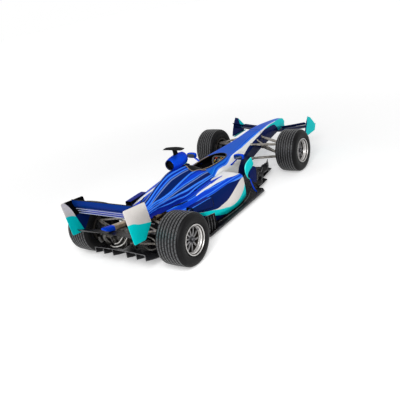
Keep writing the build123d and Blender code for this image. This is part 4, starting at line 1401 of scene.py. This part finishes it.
# camera winglet: a flat, slightly swept plane on a flared stalk
def buildCameraWinglet():
    y = np.linspace(0, .148, 18)
    share = y / .148
    rows = np.column_stack([y, 1.11 - .03 * share ** 2, 1.029 + 0 * share, .985 - .004 * share, 1.03 + 0 * share,
        .2 - .05 * share, .01 + 0 * share])
    half = wingSheet(rows, 18)
    addPiece("camera_plane", bothSides(half), "black", replaces="camera_winglet")
    height = np.linspace(.935, 1.03, 10)
    flare = 1 + np.abs(np.linspace(-1, 1, 10)) ** 2.5
    stalk = sweep(place(1.055 + 0 * height, 0, height), .036 + .01 * flare, .013 * flare, "x", 24)
    addPiece("camera_stalk", [capped(stalk)], "black")


# side ducts: rounded boxes that stand out of the sidepod shoulders, closed in front and open behind
sideDuct = {
    # station, middle y, middle z, half width, half height
    "rows": [(.49, .512, .426, .056, .046), (.6, .522, .412, .062, .054), (.72, .535, .396, .064, .064),
        (.82, .547, .382, .06, .071), (.872, .556, .372, .047, .067), (.892, .56, .368, .02, .04)],
    # distances of the painted highlight along the edge and of the inner side, painted black as shade, then the height
    # of the side
    "topEdge": [(.45, .546), (.6, .562), (.75, .576), (.9, .588)],
    "innerEdge": [(.45, .47), (.6, .476), (.72, .487), (.82, .503), (.9, .535)],
    "sideTop": [(.4, .43), (.6, .43), (.75, .425), (.95, .415)],
    "wall": .004,
}


def buildSideDucts():
    stations = np.linspace(.49, .892, 40)
    y, z, halfY, halfZ = (k[:, None] for k in alongRows(sideDuct["rows"], stations).T)
    cosine, sine = squared(np.linspace(0, 2 * pi, 49)[None], 2 / 5)
    sheet = place(stations[:, None], y + halfY * cosine, z + halfZ * sine)
    seam = capped(sweep(sheet[37], .0035, .0035, "x", 8))
    addPiece("side_duct_seams", bothSides(seam), "dark")
    sheet = capped(sheet, False, True)
    for name, side in sides:
        addPiece("side_duct_" + name, [sheet * [1, side, 1]], "duct", replaces="winglets" if side == 1 else None,
            core=(.542 * side, .38), wall=sideDuct["wall"], lining="carbon")


# slots pressed into the skin: dark strips that lie along the surface, painted black as the shade inside the slots
def buildGills():
    for name, side in sides:
        path = np.array([(.66, .365, .472), (.551, .321, .474), (.45, .262, .474)]) * [1, side, 1]
        gill = rod(path, np.sin(np.linspace(.15, pi - .15, 16)) * .01, .0035, (0, side, -.3), 10, 16)
        addPiece("cover_gill_" + name, [gill], "dark")


# padded apron on the front slope of the cover, edged with a hide piping
collarPad = {"rear": 1.165, "front": 1.408, "lift": .006, "halfWidth": [(1.165, .085), (1.19, .122), (1.33, .14),
    (1.41, .184)]}


def buildCollarPad():
    stations = np.linspace(collarPad["rear"], collarPad["front"], 30)
    section = halfSection(cover, stations, 9, 7)
    half = np.interp(stations, *np.transpose(collarPad["halfWidth"]))
    share = np.sin(np.linspace(-pi / 2, pi / 2, 41))
    y = half[:, None] * share
    z = np.stack([np.interp(np.abs(row), *line.T) for row, line in zip(y, section)]) + .008
    top = place(stations[:, None], y, z + collarPad["lift"] * (1 - share ** 4))
    low = place(stations[:, None], y, z - .01)
    pad = capped(np.concatenate([top, low[:, ::-1], top[:, :1]], 1))
    addPiece("collar_apron", [pad], "collar")
    edge, size = np.concatenate([top[::-1, 0], top[0, 1:-1:4], top[:, -1]]) + [0, 0,
        .002], cockpit["pipingRadius"] * .9
    addPiece("collar_apron_piping", [capped(sweep(edge, size, size, "z", 12))], "piping")


# deep blue on top with a painted highlight line along the edge, navy down the outer side, and black inside as painted
# shade
def ductLivery(name):
    material, tree, station, side, height = newLivery(name)
    top = overLine(tree, station, side, sideDuct["innerEdge"], "paintedShadeBlack", "deepBlue")
    top = overLine(tree, station, side, sideDuct["topEdge"], top, "paintedHighlightBlue")
    top = overLine(tree, station, side, [(s, y + .01) for s, y in sideDuct["topEdge"]], top, "navy")
    return finishPaint(material, tree, overLine(tree, station, height, sideDuct["sideTop"], "navy", top))


addLooks("carbon", grip=paddedCloth("grip_suede", "#2b2b2d", "#67676a"),
    seat=wovenCarbon("seat_carbon", .5, "#66615a"), display=mouldedSkin("display_glass", "#5d6668", .12, 1),
    dark=mouldedSkin("slot_shadow_plastic", "#030304", .7, 0, .1))
addLooks("headrest_pad", webbing=paddedCloth("belt_webbing", "#4a4c54", "#8b8d94", .002),
    piping=paddedCloth("collar_piping_hide", "#6f5f4c", "#a08d74"),
    collar=mouldedSkin("collar_hide", "#050506", .6, 0, .12))
addLooks("navy_paint", duct=ductLivery("two_pack_duct_colours"))
addLooks("brushed_steel", glass=mouldedSkin("dark_mirror_glass", "#0a1b33", .15, .1))
buildSteeringWheel()
buildSeat()
buildRim()
buildHeadrest()
buildMirrors()
buildCollarPad()
buildCameraWinglet()
buildSideDucts()
buildGills()
print("cockpit ready")


# a thin blade between two lines of (station, y, z) points, bowed in its middle and thick as a long ellipse
def bladeSheet(first, second, half=.005, bow=0, side="y", count=24, columns=9):
    side = np.array(axes[side], float)
    first, second = smoothPath(first, count)[:, None], smoothPath(second, count)[:, None]
    share = ((1 - np.cos(np.linspace(0, pi, columns))) / 2)[None, :, None]
    middle = first + share * (second - first) + bow * 4 * share * (1 - share) * side
    thick = half * np.sqrt(np.clip(1 - (2 * share - 1) ** 2, 0, 1)) * side
    loop = np.concatenate([middle + thick, (middle - thick)[:, ::-1][:, 1:]], 1)
    return capped(place(*np.moveaxis(loop, -1, 0)))


vanes = {
    # edge lines of (station, y, z), left side
    "crescentRear": [(1.84, .59, .3), (1.785, .59, .36), (1.76, .591, .43), (1.768, .591, .5), (1.83, .59, .552),
        (1.968, .588, .58)],
    "crescentFront": [(1.846, .59, .302), (1.806, .59, .352), (1.832, .592, .398), (1.89, .593, .424),
        (1.95, .592, .44), (2.006, .589, .458)],
    "panelFoot": [(1.85, .59, .29), (1.9, .59, .25), (1.96, .59, .2), (2.016, .588, .18)],
    "panelTop": [(1.83, .59, .385), (1.9, .592, .42), (1.975, .592, .445), (2.052, .588, .405)],
    "legRear": [(1.842, .59, .3), (1.872, .592, .2), (1.902, .594, .11), (1.955, .594, .048)],
    "legFront": [(1.866, .59, .3), (1.9, .592, .2), (1.935, .594, .115), (1.99, .594, .048)],
}
# scalloped guide blades on the floor ahead of the pods: foot line and top line, left side
guideBlades = [
    ([(2.52, .352, .048), (2.64, .348, .048), (2.79, .34, .048)],
        [(2.56, .352, .1), (2.64, .35, .19), (2.77, .346, .165), (2.85, .345, .214)]),
    ([(2.48, .39, .048), (2.6, .388, .048), (2.74, .38, .048)],
        [(2.52, .39, .09), (2.6, .392, .165), (2.7, .388, .14), (2.79, .385, .188)]),
    ([(2.14, .505, .048), (2.26, .503, .048), (2.36, .495, .048)],
        [(2.18, .505, .12), (2.25, .507, .235), (2.33, .503, .205), (2.4, .5, .258)]),
]
# shelves that curl outwards from the guide blades: inner line and outer line, left side
guideShelves = [
    ([(2.5, .35, .175), (2.62, .345, .182), (2.76, .345, .19)],
        [(2.44, .47, .15), (2.54, .5, .165), (2.6, .47, .205)]),
    ([(2.12, .44, .12), (2.22, .47, .13), (2.32, .5, .14)], [(2.09, .56, .095), (2.16, .59, .105), (2.23, .56, .15)]),
]


# blades between their edge lines, with thin rods along the lines that show; the rods on the guide blades and shelves
# are pale, a painted highlight
def buildVanes():
    crescent = bladeSheet(vanes["crescentRear"], vanes["crescentFront"], .0065)
    addPiece("vane_crescents", bothSides(crescent), "turquoise_paint", replaces="turning_vanes")
    addPiece("vane_panels", bothSides(bladeSheet(vanes["panelFoot"], vanes["panelTop"], .006, .004)), "navy_paint")
    addPiece("vane_legs", bothSides(bladeSheet(vanes["legRear"], vanes["legFront"], .006)), "blue_paint")
    addPiece("vane_rims", bothSides(rod(vanes["crescentRear"], .005, .0072, "x", 10, 30)), "pale")
    blades = [bladeSheet(foot, top, .0045, .006) for foot, top in guideBlades]
    addPiece("guide_blades", bothSides(*blades), "carbon", replaces="barge_vanes")
    shelves = [bladeSheet(inner, outer, .004, .01, "z") for inner, outer in guideShelves]
    addPiece("guide_shelves", bothSides(*shelves), "carbon")
    edges = [rod(top, .003, .0055, count=20) for _, top in guideBlades]
    edges += [rod(outer, .0035, .0045, count=20) for _, outer in guideShelves]
    addPiece("guide_blade_lips", bothSides(*edges), "edge")


underfloor = {
    # station, half width of the floor
    "outline": [(.3, .505), (.37, .505), (.56, .705), (2.01, .705), (2.09, .64), (2.095, .56), (2.42, .54),
        (2.46, .44), (2.86, .39), (2.9, .23)],
    "low": .04, "high": .05, "lipRise": .01, "lipWidth": .02,
    "finRear": [(.52, .64, .052), (.524, .672, .2), (.53, .694, .343)],
    "finFront": [(.8, .64, .052), (.775, .672, .18), (.738, .694, .298)],
    "plankHalf": .15, "plankFront": 2.86, "plankRear": .33, "plankLow": .026,
    # inner seam, where the sidepod's skirt meets the floor
    "seam": [(.56, .6, .053), (.7, .56, .053), (.9, .57, .053), (1.2, .606, .053), (1.5, .612, .053),
        (1.75, .575, .053), (1.95, .5, .053)],
}
diffuserLook = {
    "half": .408, "start": .3, "end": -.35, "low": .044, "high": .248, "power": 1.2,
    "strakes": [.404, .266, .112], "strakeFoot": .165,
}


# the floor is as wide as its outline says at each station, with a lip turned up along its edge
def buildFloor():
    outline = np.array(underfloor["outline"])
    stations = np.unique(np.concatenate([np.linspace(.3, 2.9, 140), outline[:, 0], outline[:, 0] + .002]))
    stations = stations[stations <= 2.9]
    half = np.interp(stations, outline[:, 0], outline[:, 1])[:, None]
    share = np.sin(np.linspace(-pi / 2, pi / 2, 61))[None]
    y = half * share
    lip = underfloor["lipRise"] * np.exp(-((half - np.abs(y)) / underfloor["lipWidth"]) ** 2)
    top = place(stations[:, None], y, underfloor["high"] + lip)
    low = place(stations[:, None], y, underfloor["low"] + lip)
    loop = np.concatenate([top, low[:, ::-1], top[:, :1]], 1)
    addPiece("floor_panel", [capped(loop)], "carbon", replaces="floor")
    plank = sweep(place(np.linspace(underfloor["plankRear"], underfloor["plankFront"], 40), 0,
        (underfloor["plankLow"] + underfloor["low"]) / 2 + .0005), underfloor["plankHalf"],
        (underfloor["low"] - underfloor["plankLow"]) / 2 + .0005, "y", 40, 12)
    addPiece("skid_plank", [capped(plank)], "plank")
    fin = bladeSheet(underfloor["finRear"], underfloor["finFront"], .0045)
    winglet = bladeSheet([(.56, .69, .25), (.64, .69, .225), (.74, .69, .2)],
        [(.56, .61, .262), (.64, .61, .236), (.74, .61, .208)], .004, 0, "z")
    louvres = [bladeSheet([(s, .6, .05), (s + .02, .605, .12), (s + .035, .61, tall)],
        [(s + .06, .65, .05), (s + .075, .66, .11), (s + .085, .67, tall - .02)], .003)
        for s, tall in ((.585, .2), (.665, .18), (.745, .155))]
    addPiece("floor_fins", bothSides(fin, winglet, *louvres), "black")
    # pale rods on the fins, along the floor's edge and lip, and on the seam under the sidepods are painted highlights
    ribs = [rod([(s + .05, .648, .066), (s + .03, .676, high * .55), (s, .698, high)], .0035, .0045, "y", 8, 16)
        for s, high in ((.575, .315), (.635, .3), (.695, .29))]
    tip = straight((.526, .694, .342), (.742, .694, .297), 12)
    rail = np.column_stack([stations, half[:, 0] - .003, 0 * stations + underfloor["high"] +
        underfloor["lipRise"] - .001])
    rail = rail[(stations > .37) & (stations < 2.09)]
    addPiece("floor_edge_highlight_rods", bothSides(*ribs, rod(tip, .004, .0065, "z"), rod(rail, .0032, across="z"),
        rod(rail - [0, .034, .009], .0028, across="z"), rod(underfloor["seam"], .0045, .003, "y", 8, 60)), "edge")


# the roof climbs to the tail as a power of the distance; strakes hang from it, their feet cut on a slant
def buildDiffuser():
    look = diffuserLook
    stations = np.linspace(look["start"], look["end"], 30)[:, None]
    share = (look["start"] - stations) / (look["start"] - look["end"])
    roofZ = look["low"] + (look["high"] - look["low"]) * share ** look["power"]
    y = np.linspace(-look["half"], look["half"], 33)[None]
    arch = .012 * (1 - (y / look["half"]) ** 2) * share
    top = place(stations, y, roofZ + .003 - .012 * share + arch)
    low = place(stations, y, roofZ - .002 - .012 * share + arch)
    roof = capped(np.concatenate([top, low[:, ::-1], top[:, :1]], 1))
    # pale rods along the strake feet, the strake edges and the tail are painted highlights
    sheets, lips = [roof], []
    for y in look["strakes"]:
        upper = [(s, y, look["low"] + (look["high"] - look["low"] - .01) * ((look["start"] - s) / .65) **
            look["power"]) for s in (.24, .1, -.1, -.25, look["end"])]
        foot = [(.24, y, .042), (.1, y, .05), (-.1, y, .085), (-.25, y, .128), (look["end"], y, look["strakeFoot"])]
        sheets += bothSides(bladeSheet(foot, upper, .0035))
        edge = straight((look["end"], y, look["strakeFoot"]), (look["end"], y, .236), 6)
        lips += bothSides(rod(foot, .0035, .0045, "z", 8, 20), rod(edge, .0035, .0045))
    addPiece("diffuser_tunnels", sheets, "carbon", replaces="diffuser")
    tailLip = sweep(place(look["end"] + .002, np.linspace(-look["half"], look["half"], 24),
        .238 + .012 * (1 - np.linspace(-1, 1, 24) ** 2)), .005, .005, "x", 8)
    addPiece("diffuser_lips", lips + [capped(tailLip)], "edge")


gearcase = {
    # station, half width, low z, high z
    "rows": [(.45, .15, .12, .44), (.2, .136, .165, .434), (0, .118, .2, .43), (-.15, .095, .245, .44),
        (-.2, .088, .255, .45)],
    "ribs": [.38, .26, .14, .03, -.08, -.16], "ribRise": .007, "ribWidth": .008,
    "coverZ": .372, "coverY": 0,
    # station, radius of the round end cover
    "cover": [(-.185, 0), (-.185, .118), (-.215, .128), (-.285, .13), (-.306, .127), (-.308, .119), (-.298, .115),
        (-.282, .112), (-.282, .103), (-.3, .1), (-.304, .093), (-.296, .088), (-.262, .082), (-.262, .045),
        (-.29, .04), (-.296, .03), (-.29, 0)],
    # station, half width, low z, high z of the tail over the gearbox
    "tail": [(-.02, .04, .455, .515), (-.12, .038, .477, .54), (-.33, .036, .515, .582), (-.352, .037, .518, .588),
        (-.42, .036, .535, .606), (-.47, .03, .566, .618), (-.505, .02, .598, .622)],
    "tipStart": -.345,
}
# (station, y, z) points of each run, its half width and half thickness
tailPlumbing = {
    "gearbox_curled_pipes": [
        ([(-.29, -.15, .43), (-.325, -.142, .397), (-.33, -.093, .344), (-.33, 0, .296), (-.325, .096, .272),
            (-.3, .168, .266)], .009, .009),
        ([(-.29, -.093, .444), (-.328, -.066, .394), (-.33, -.009, .343), (-.322, .066, .314)], .0075, .0075),
        ([(-.24, .22, .395), (-.2, .16, .47), (-.15, .101, .5)], .006, .006),
        ([(-.25, -.039, .462), (-.27, -.1, .5), (-.29, -.15, .52)], .006, .006),
    ],
    "rear_brackets": [
        ([(-.29, .25, .4), (-.3, .238, .35), (-.29, .215, .3), (-.27, .19, .262)], .004, .03),
        ([(-.12, .44, .5), (-.13, .336, .444), (-.14, .18, .4)], .009, .009),
        ([(-.15, .47, .3), (-.16, .4, .36), (-.17, .3, .392)], .012, .006),
        ([(-.2, .47, .262), (-.23, .4, .25), (-.24, .33, .29)], .014, .006),
        ([(-.25, .4, .33), (-.255, .385, .29), (-.25, .36, .262)], .004, .02),
        ([(-.33, .089, .414), (-.325, .04, .445), (-.3, -.01, .462)], .007, .007),
        ([(-.15, -.47, .3), (-.16, -.4, .36), (-.17, -.3, .392)], .012, .006),
        ([(-.2, -.47, .262), (-.23, -.4, .25), (-.24, -.33, .29)], .014, .006),
        ([(-.29, -.25, .4), (-.3, -.238, .35), (-.29, -.215, .3), (-.27, -.19, .262)], .004, .024),
    ],
}


# parts of superellipses along the car, their half width and heights read off the rows
def boxSheet(rows, count, power=5, stations=None):
    stations = np.linspace(rows[0][0], rows[-1][0], count) if stations is None else stations
    table = np.array(sorted(rows))
    half, low, high = (np.interp(stations, table[:, 0], table[:, k])[:, None] for k in (1, 2, 3))
    cosine, sine = squared(np.linspace(0, 2 * pi, 41)[None], 2 / power)
    return stations[:, None], half, cosine, (low + high) / 2, (high - low) / 2, sine


# a squared tube whose skin swells at each rib and at its seam, closed by a turned cover
def buildGearcase():
    station, half, cosine, middle, tall, sine = boxSheet(gearcase["rows"], 90)
    rib = sum(np.exp(-((station - k) / gearcase["ribWidth"]) ** 4) for k in gearcase["ribs"])
    swell = gearcase["ribRise"] * (rib + np.exp(-((sine - .2) / .1) ** 4))
    case = place(station, (half + swell) * cosine, middle + (tall + gearcase["ribRise"] * rib) * sine)
    addPiece("gearbox_case", [capped(case)], "casting", replaces="gearbox")
    cover = lathe(gearcase["cover"], (rearAxleX, gearcase["coverY"], gearcase["coverZ"]), "x", 1, 72)
    addPiece("gearbox_cover", [cover], "alloy")
    bolts = []
    for k in range(14):
        angle = 2 * pi * (k + .5) / 14
        y, z = .121 * cos(angle), gearcase["coverZ"] + .121 * sin(angle)
        size = [.006, .006, .004]
        bolts.append(capped(sweep(place([-.3, -.309, -.3095], y, z), size, size, "y", 6)))
    addPiece("gearbox_cover_bolts", bolts, "oilySteel")
    # pipes that curl round the end of the gearbox, then the links and brackets beside it
    for name, look in (("gearbox_curled_pipes", "bright"), ("rear_brackets", "alloy")):
        addPiece(name, [rod(points, wide, thick, "x", 14, 40) for points, wide, thick in tailPlumbing[name]], look)
    # tail: heat stained tube in front, painted tip behind
    for name, low, high, look in (("tail_tube", gearcase["tipStart"], -.02, "heat_tinted_metal"),
            ("tail_tip", -.505, gearcase["tipStart"], "blue_paint")):
        station, half, cosine, middle, tall, sine = boxSheet(gearcase["tail"], 24, 4, np.linspace(low, high, 24))
        sheet = place(station, half * cosine, middle + tall * sine)
        addPiece(name, [capped(sheet)], look, replaces="crash_structure" if name == "tail_tip" else None)
    # rocker covers, springs and links that sit on the gearbox
    small = []
    for side in (1, -1):
        for s, z in ((.1, .462), (-.05, .466)):
            small.append(lathe([(-.02, 0), (-.02, .02), (0, .024), (.02, .02), (.02, 0)],
                (rearAxleX + s, side * .075, z), "y", 1, 24))
        coil = .016 + .004 * np.sin(np.linspace(0, 22 * pi, 40))
        small.append(rod(straight((.16, side * .06, .47), (-.12, side * .066, .478), 40), coil, coil, "y", 16))
        small.append(rod(straight((-.02, side * .075, .47), (.04, side * .3, .44), 6), .008, sides=12))
    addPiece("rear_dampers", small, "oilySteel")
    # pipes over the gearbox and a pale brace under the tail
    pipes = [rod(points, .01, .01, "y", 12, 20) for points in ([(.3, .1, .462), (.12, .13, .48), (-.08, .105, .47),
        (-.2, .09, .44)], [(.3, -.1, .462), (.1, -.12, .485), (-.12, -.1, .462), (-.22, -.1, .43)],
        [(.2, .02, .47), (.05, -.02, .492), (-.1, -.045, .47), (-.19, -.05, .455)])]
    addPiece("gearbox_pipes", pipes, "hose")
    brace = rod(straight((-.19, .055, .47), (-.32, .016, .514), 6), .007, .007, "y", 12)
    addPiece("tail_braces", bothSides(brace), "alloy")


exhaustLook = {
    # station y z, radius, wall
    "tips": ([(.4, .196, .43), (.32, .204, .436), (.24, .212, .446), (.15, .218, .462)], .026, .0025),
    "wastegates": ([(.34, .236, .405), (.27, .247, .408), (.185, .256, .415)], .014, .002),
}


# thin tubes with a slightly belled mouth, carried back inside and closed by a sooty plug
def buildExhausts():
    tubes, plugs = [], []
    for points, size, wall in (exhaustLook["tips"], exhaustLook["wastegates"]):
        path = smoothPath(points, 30)
        run = np.linspace(0, 1, 30)
        radius = size * (1.04 - .1 * np.sin(pi * run) + .06 * (run > .96))
        outer, inner = (sweep(place(*path.T), size, size, "z", 40) for size in (radius, radius - wall))
        tubes.append(np.concatenate([outer, inner[::-1], outer[:1]]))
        plugs.append(rod(straight(path[14], path[15], 3), size - wall, None, "z", 32))
    addPiece("exhaust_tips", bothSides(*tubes), "scorched", replaces="exhausts")
    addPiece("exhaust_depths", bothSides(*plugs), "soot")


steering = {"station": 3.075, "z": .394, "end": .612}


# rack tube, bellows boots and slim track rods with ball ends; they slide with the rack
def buildRack():
    z, station = steering["z"], steering["station"]
    tube = sweep(place(station, np.linspace(-.088, .088, 8), z), .0142, .0142, "z", 24)
    rods, boots = [], []
    for side in (1, -1):
        y = np.linspace(.086, steering["end"], 24)
        slim = .0088 + .003 * np.exp(-((y - steering["end"]) / .02) ** 2)
        rods.append(capped(sweep(place(station, side * y, z), slim, slim, "z", 16)))
        ball = np.linspace(0, pi, 10)
        rods.append(sweep(place(station, side * (.606 - .0115 * np.cos(ball)), z), .0115 * np.sin(ball) + 1e-5,
            .0115 * np.sin(ball) + 1e-5, "z", 20))
        bellow = np.linspace(.089, .15, 40)
        size = .0135 + .0022 * np.sin(np.linspace(0, 14 * pi, 40)) - .003 * (bellow - .089) / .061
        boots.append(capped(sweep(place(station, side * bellow, z), size, size, "z", 24)))
    addPiece("rack_tube", [capped(tube)] + rods, "oilySteel", "rack", "steering_rack")
    addPiece("rack_boots", boots, "tyre_rubber", "rack")


# driveshaft with a bellows boot at each end
def buildDriveshafts():
    for name, side in sides:
        y = np.linspace(.14, .6, 60)
        fold = np.sin(np.linspace(0, 60 * pi / 4, 60)) ** 2 * .004
        near = np.exp(-((y - .185) / .035) ** 4) + np.exp(-((y - .555) / .035) ** 4)
        radius = .0165 + (.012 + fold) * near
        bar = sweep(place(0, side * y, axleZ), radius, radius, "z", 28)
        addPiece("driveshaft_bar_" + name, [capped(bar)], "oilySteel", "wheel_r" + name[0], "driveshaft_" + name)


addLooks("carbon", plank=mouldedSkin("laminated_beech_plank", "#7a5a3c", .7),
    soot=mouldedSkin("exhaust_soot", "#0a0908", .9), casting=workedMetal("dark_magnesium_casting", "#262628",
    "#0e0e0f", .45, .004, .0006, .6), hose=mouldedSkin("hose_rubber", "#101012", .5))
addLooks("cast_alloy", alloy=workedMetal("rubbed_alloy_cover", "#6a6864", "#1d1c1b", .32, .003, .0004, .7))
addLooks("brushed_steel", oilySteel=workedMetal("oily_steel", "#77777a", "#2b2a29", .35, .003, .0002, .8),
    bright=workedMetal("polished_clamp_steel", "#d8d6d2", "#8f8c88", .22, .003, .0001, .9))
addLooks("heat_tinted_metal", scorched=workedMetal("scorched_titanium", "#8d7558", "#2e2620", .42, .012, .0002, .8))
buildVanes()
buildFloor()
buildDiffuser()
buildGearcase()
buildExhausts()
buildRack()
buildDriveshafts()
print("mechanicals ready")


studio = {"floorHalf": 60, "floorColour": "#efefef", "skyStrength": .5, "backdrop": 1, "nearLift": .36,
    "farLift": .56, "nearReach": 3, "farReach": 8, "keyPower": 500, "keySize": 4, "keyPlace": (-6.2, -3.6, 5.2)}


# 1 for rays from the camera, off gloss or through glass, 0 for the light that falls on the car
def seenByRays(tree):
    rays = [addNode(tree, "LightPath", output=name) for name in ("Is Camera Ray", "Is Glossy Ray",
        "Is Transmission Ray")]
    pair = addNode(tree, "Math", {0: rays[0], 1: rays[1]}, operation="MAXIMUM")
    return addNode(tree, "Math", {0: pair, 1: rays[2]}, operation="MAXIMUM")


# a wide pale floor, an even sky and one large soft lamp; the camera and mirrored rays see near white
def buildStage():
    size = studio["floorHalf"]
    mesh = bpy.data.meshes.new("floor_sheet")
    mesh.from_pydata([(-size, -size, 0), (size, -size, 0), (size, size, 0), (-size, size, 0)], [], [(0, 1, 2, 3)])
    ground = bpy.data.objects.new("floor_sheet", mesh)
    bpy.context.scene.collection.objects.link(ground)
    material, tree = newTree("studio_floor")
    cloud = grain(tree, 3, .99, 1, 2)
    colour = addNode(tree, "VectorMath", {0: toLinear(studio["floorColour"])[:3], "Scale": cloud}, operation="SCALE")
    seen = seenByRays(tree)
    coords = addNode(tree, "TexCoord", output="Object")
    reach = addNode(tree, "VectorMath", {0: coords}, 1, operation="LENGTH")
    glow = addNode(tree, "MapRange", {"Value": reach, "From Min": studio["nearReach"], "From Max": studio["farReach"],
        "To Min": studio["nearLift"], "To Max": studio["farLift"]})
    lift = addNode(tree, "Math", {0: seen, 1: glow}, operation="MULTIPLY")
    mesh.materials.append(finishMaterial(material, tree, {"Base Color": colour, "Roughness": .9,
        "Specular IOR Level": .1, "Emission Color": (1, 1, 1, 1), "Emission Strength": lift}))
    world = bpy.data.worlds.new("studio")
    bpy.context.scene.world = world
    world.use_nodes = True
    tree = world.node_tree
    tree.nodes.clear()
    seen = seenByRays(tree)
    strength = addNode(tree, "MapRange", {"Value": seen, "To Min": studio["skyStrength"],
        "To Max": studio["backdrop"]})
    sky = addNode(tree, "Background", {"Color": (1, 1, 1, 1), "Strength": strength})
    addNode(tree, "OutputWorld", {"Surface": sky})
    lamp = bpy.data.lights.new("key", "AREA")
    lamp.energy = studio["keyPower"]
    lamp.size = studio["keySize"]
    key = bpy.data.objects.new("key", lamp)
    key.location = studio["keyPlace"]
    key.rotation_euler = (-key.location).to_track_quat("-Z", "Y").to_euler()
    bpy.context.scene.collection.objects.link(key)


buildStage()
print("stage ready")
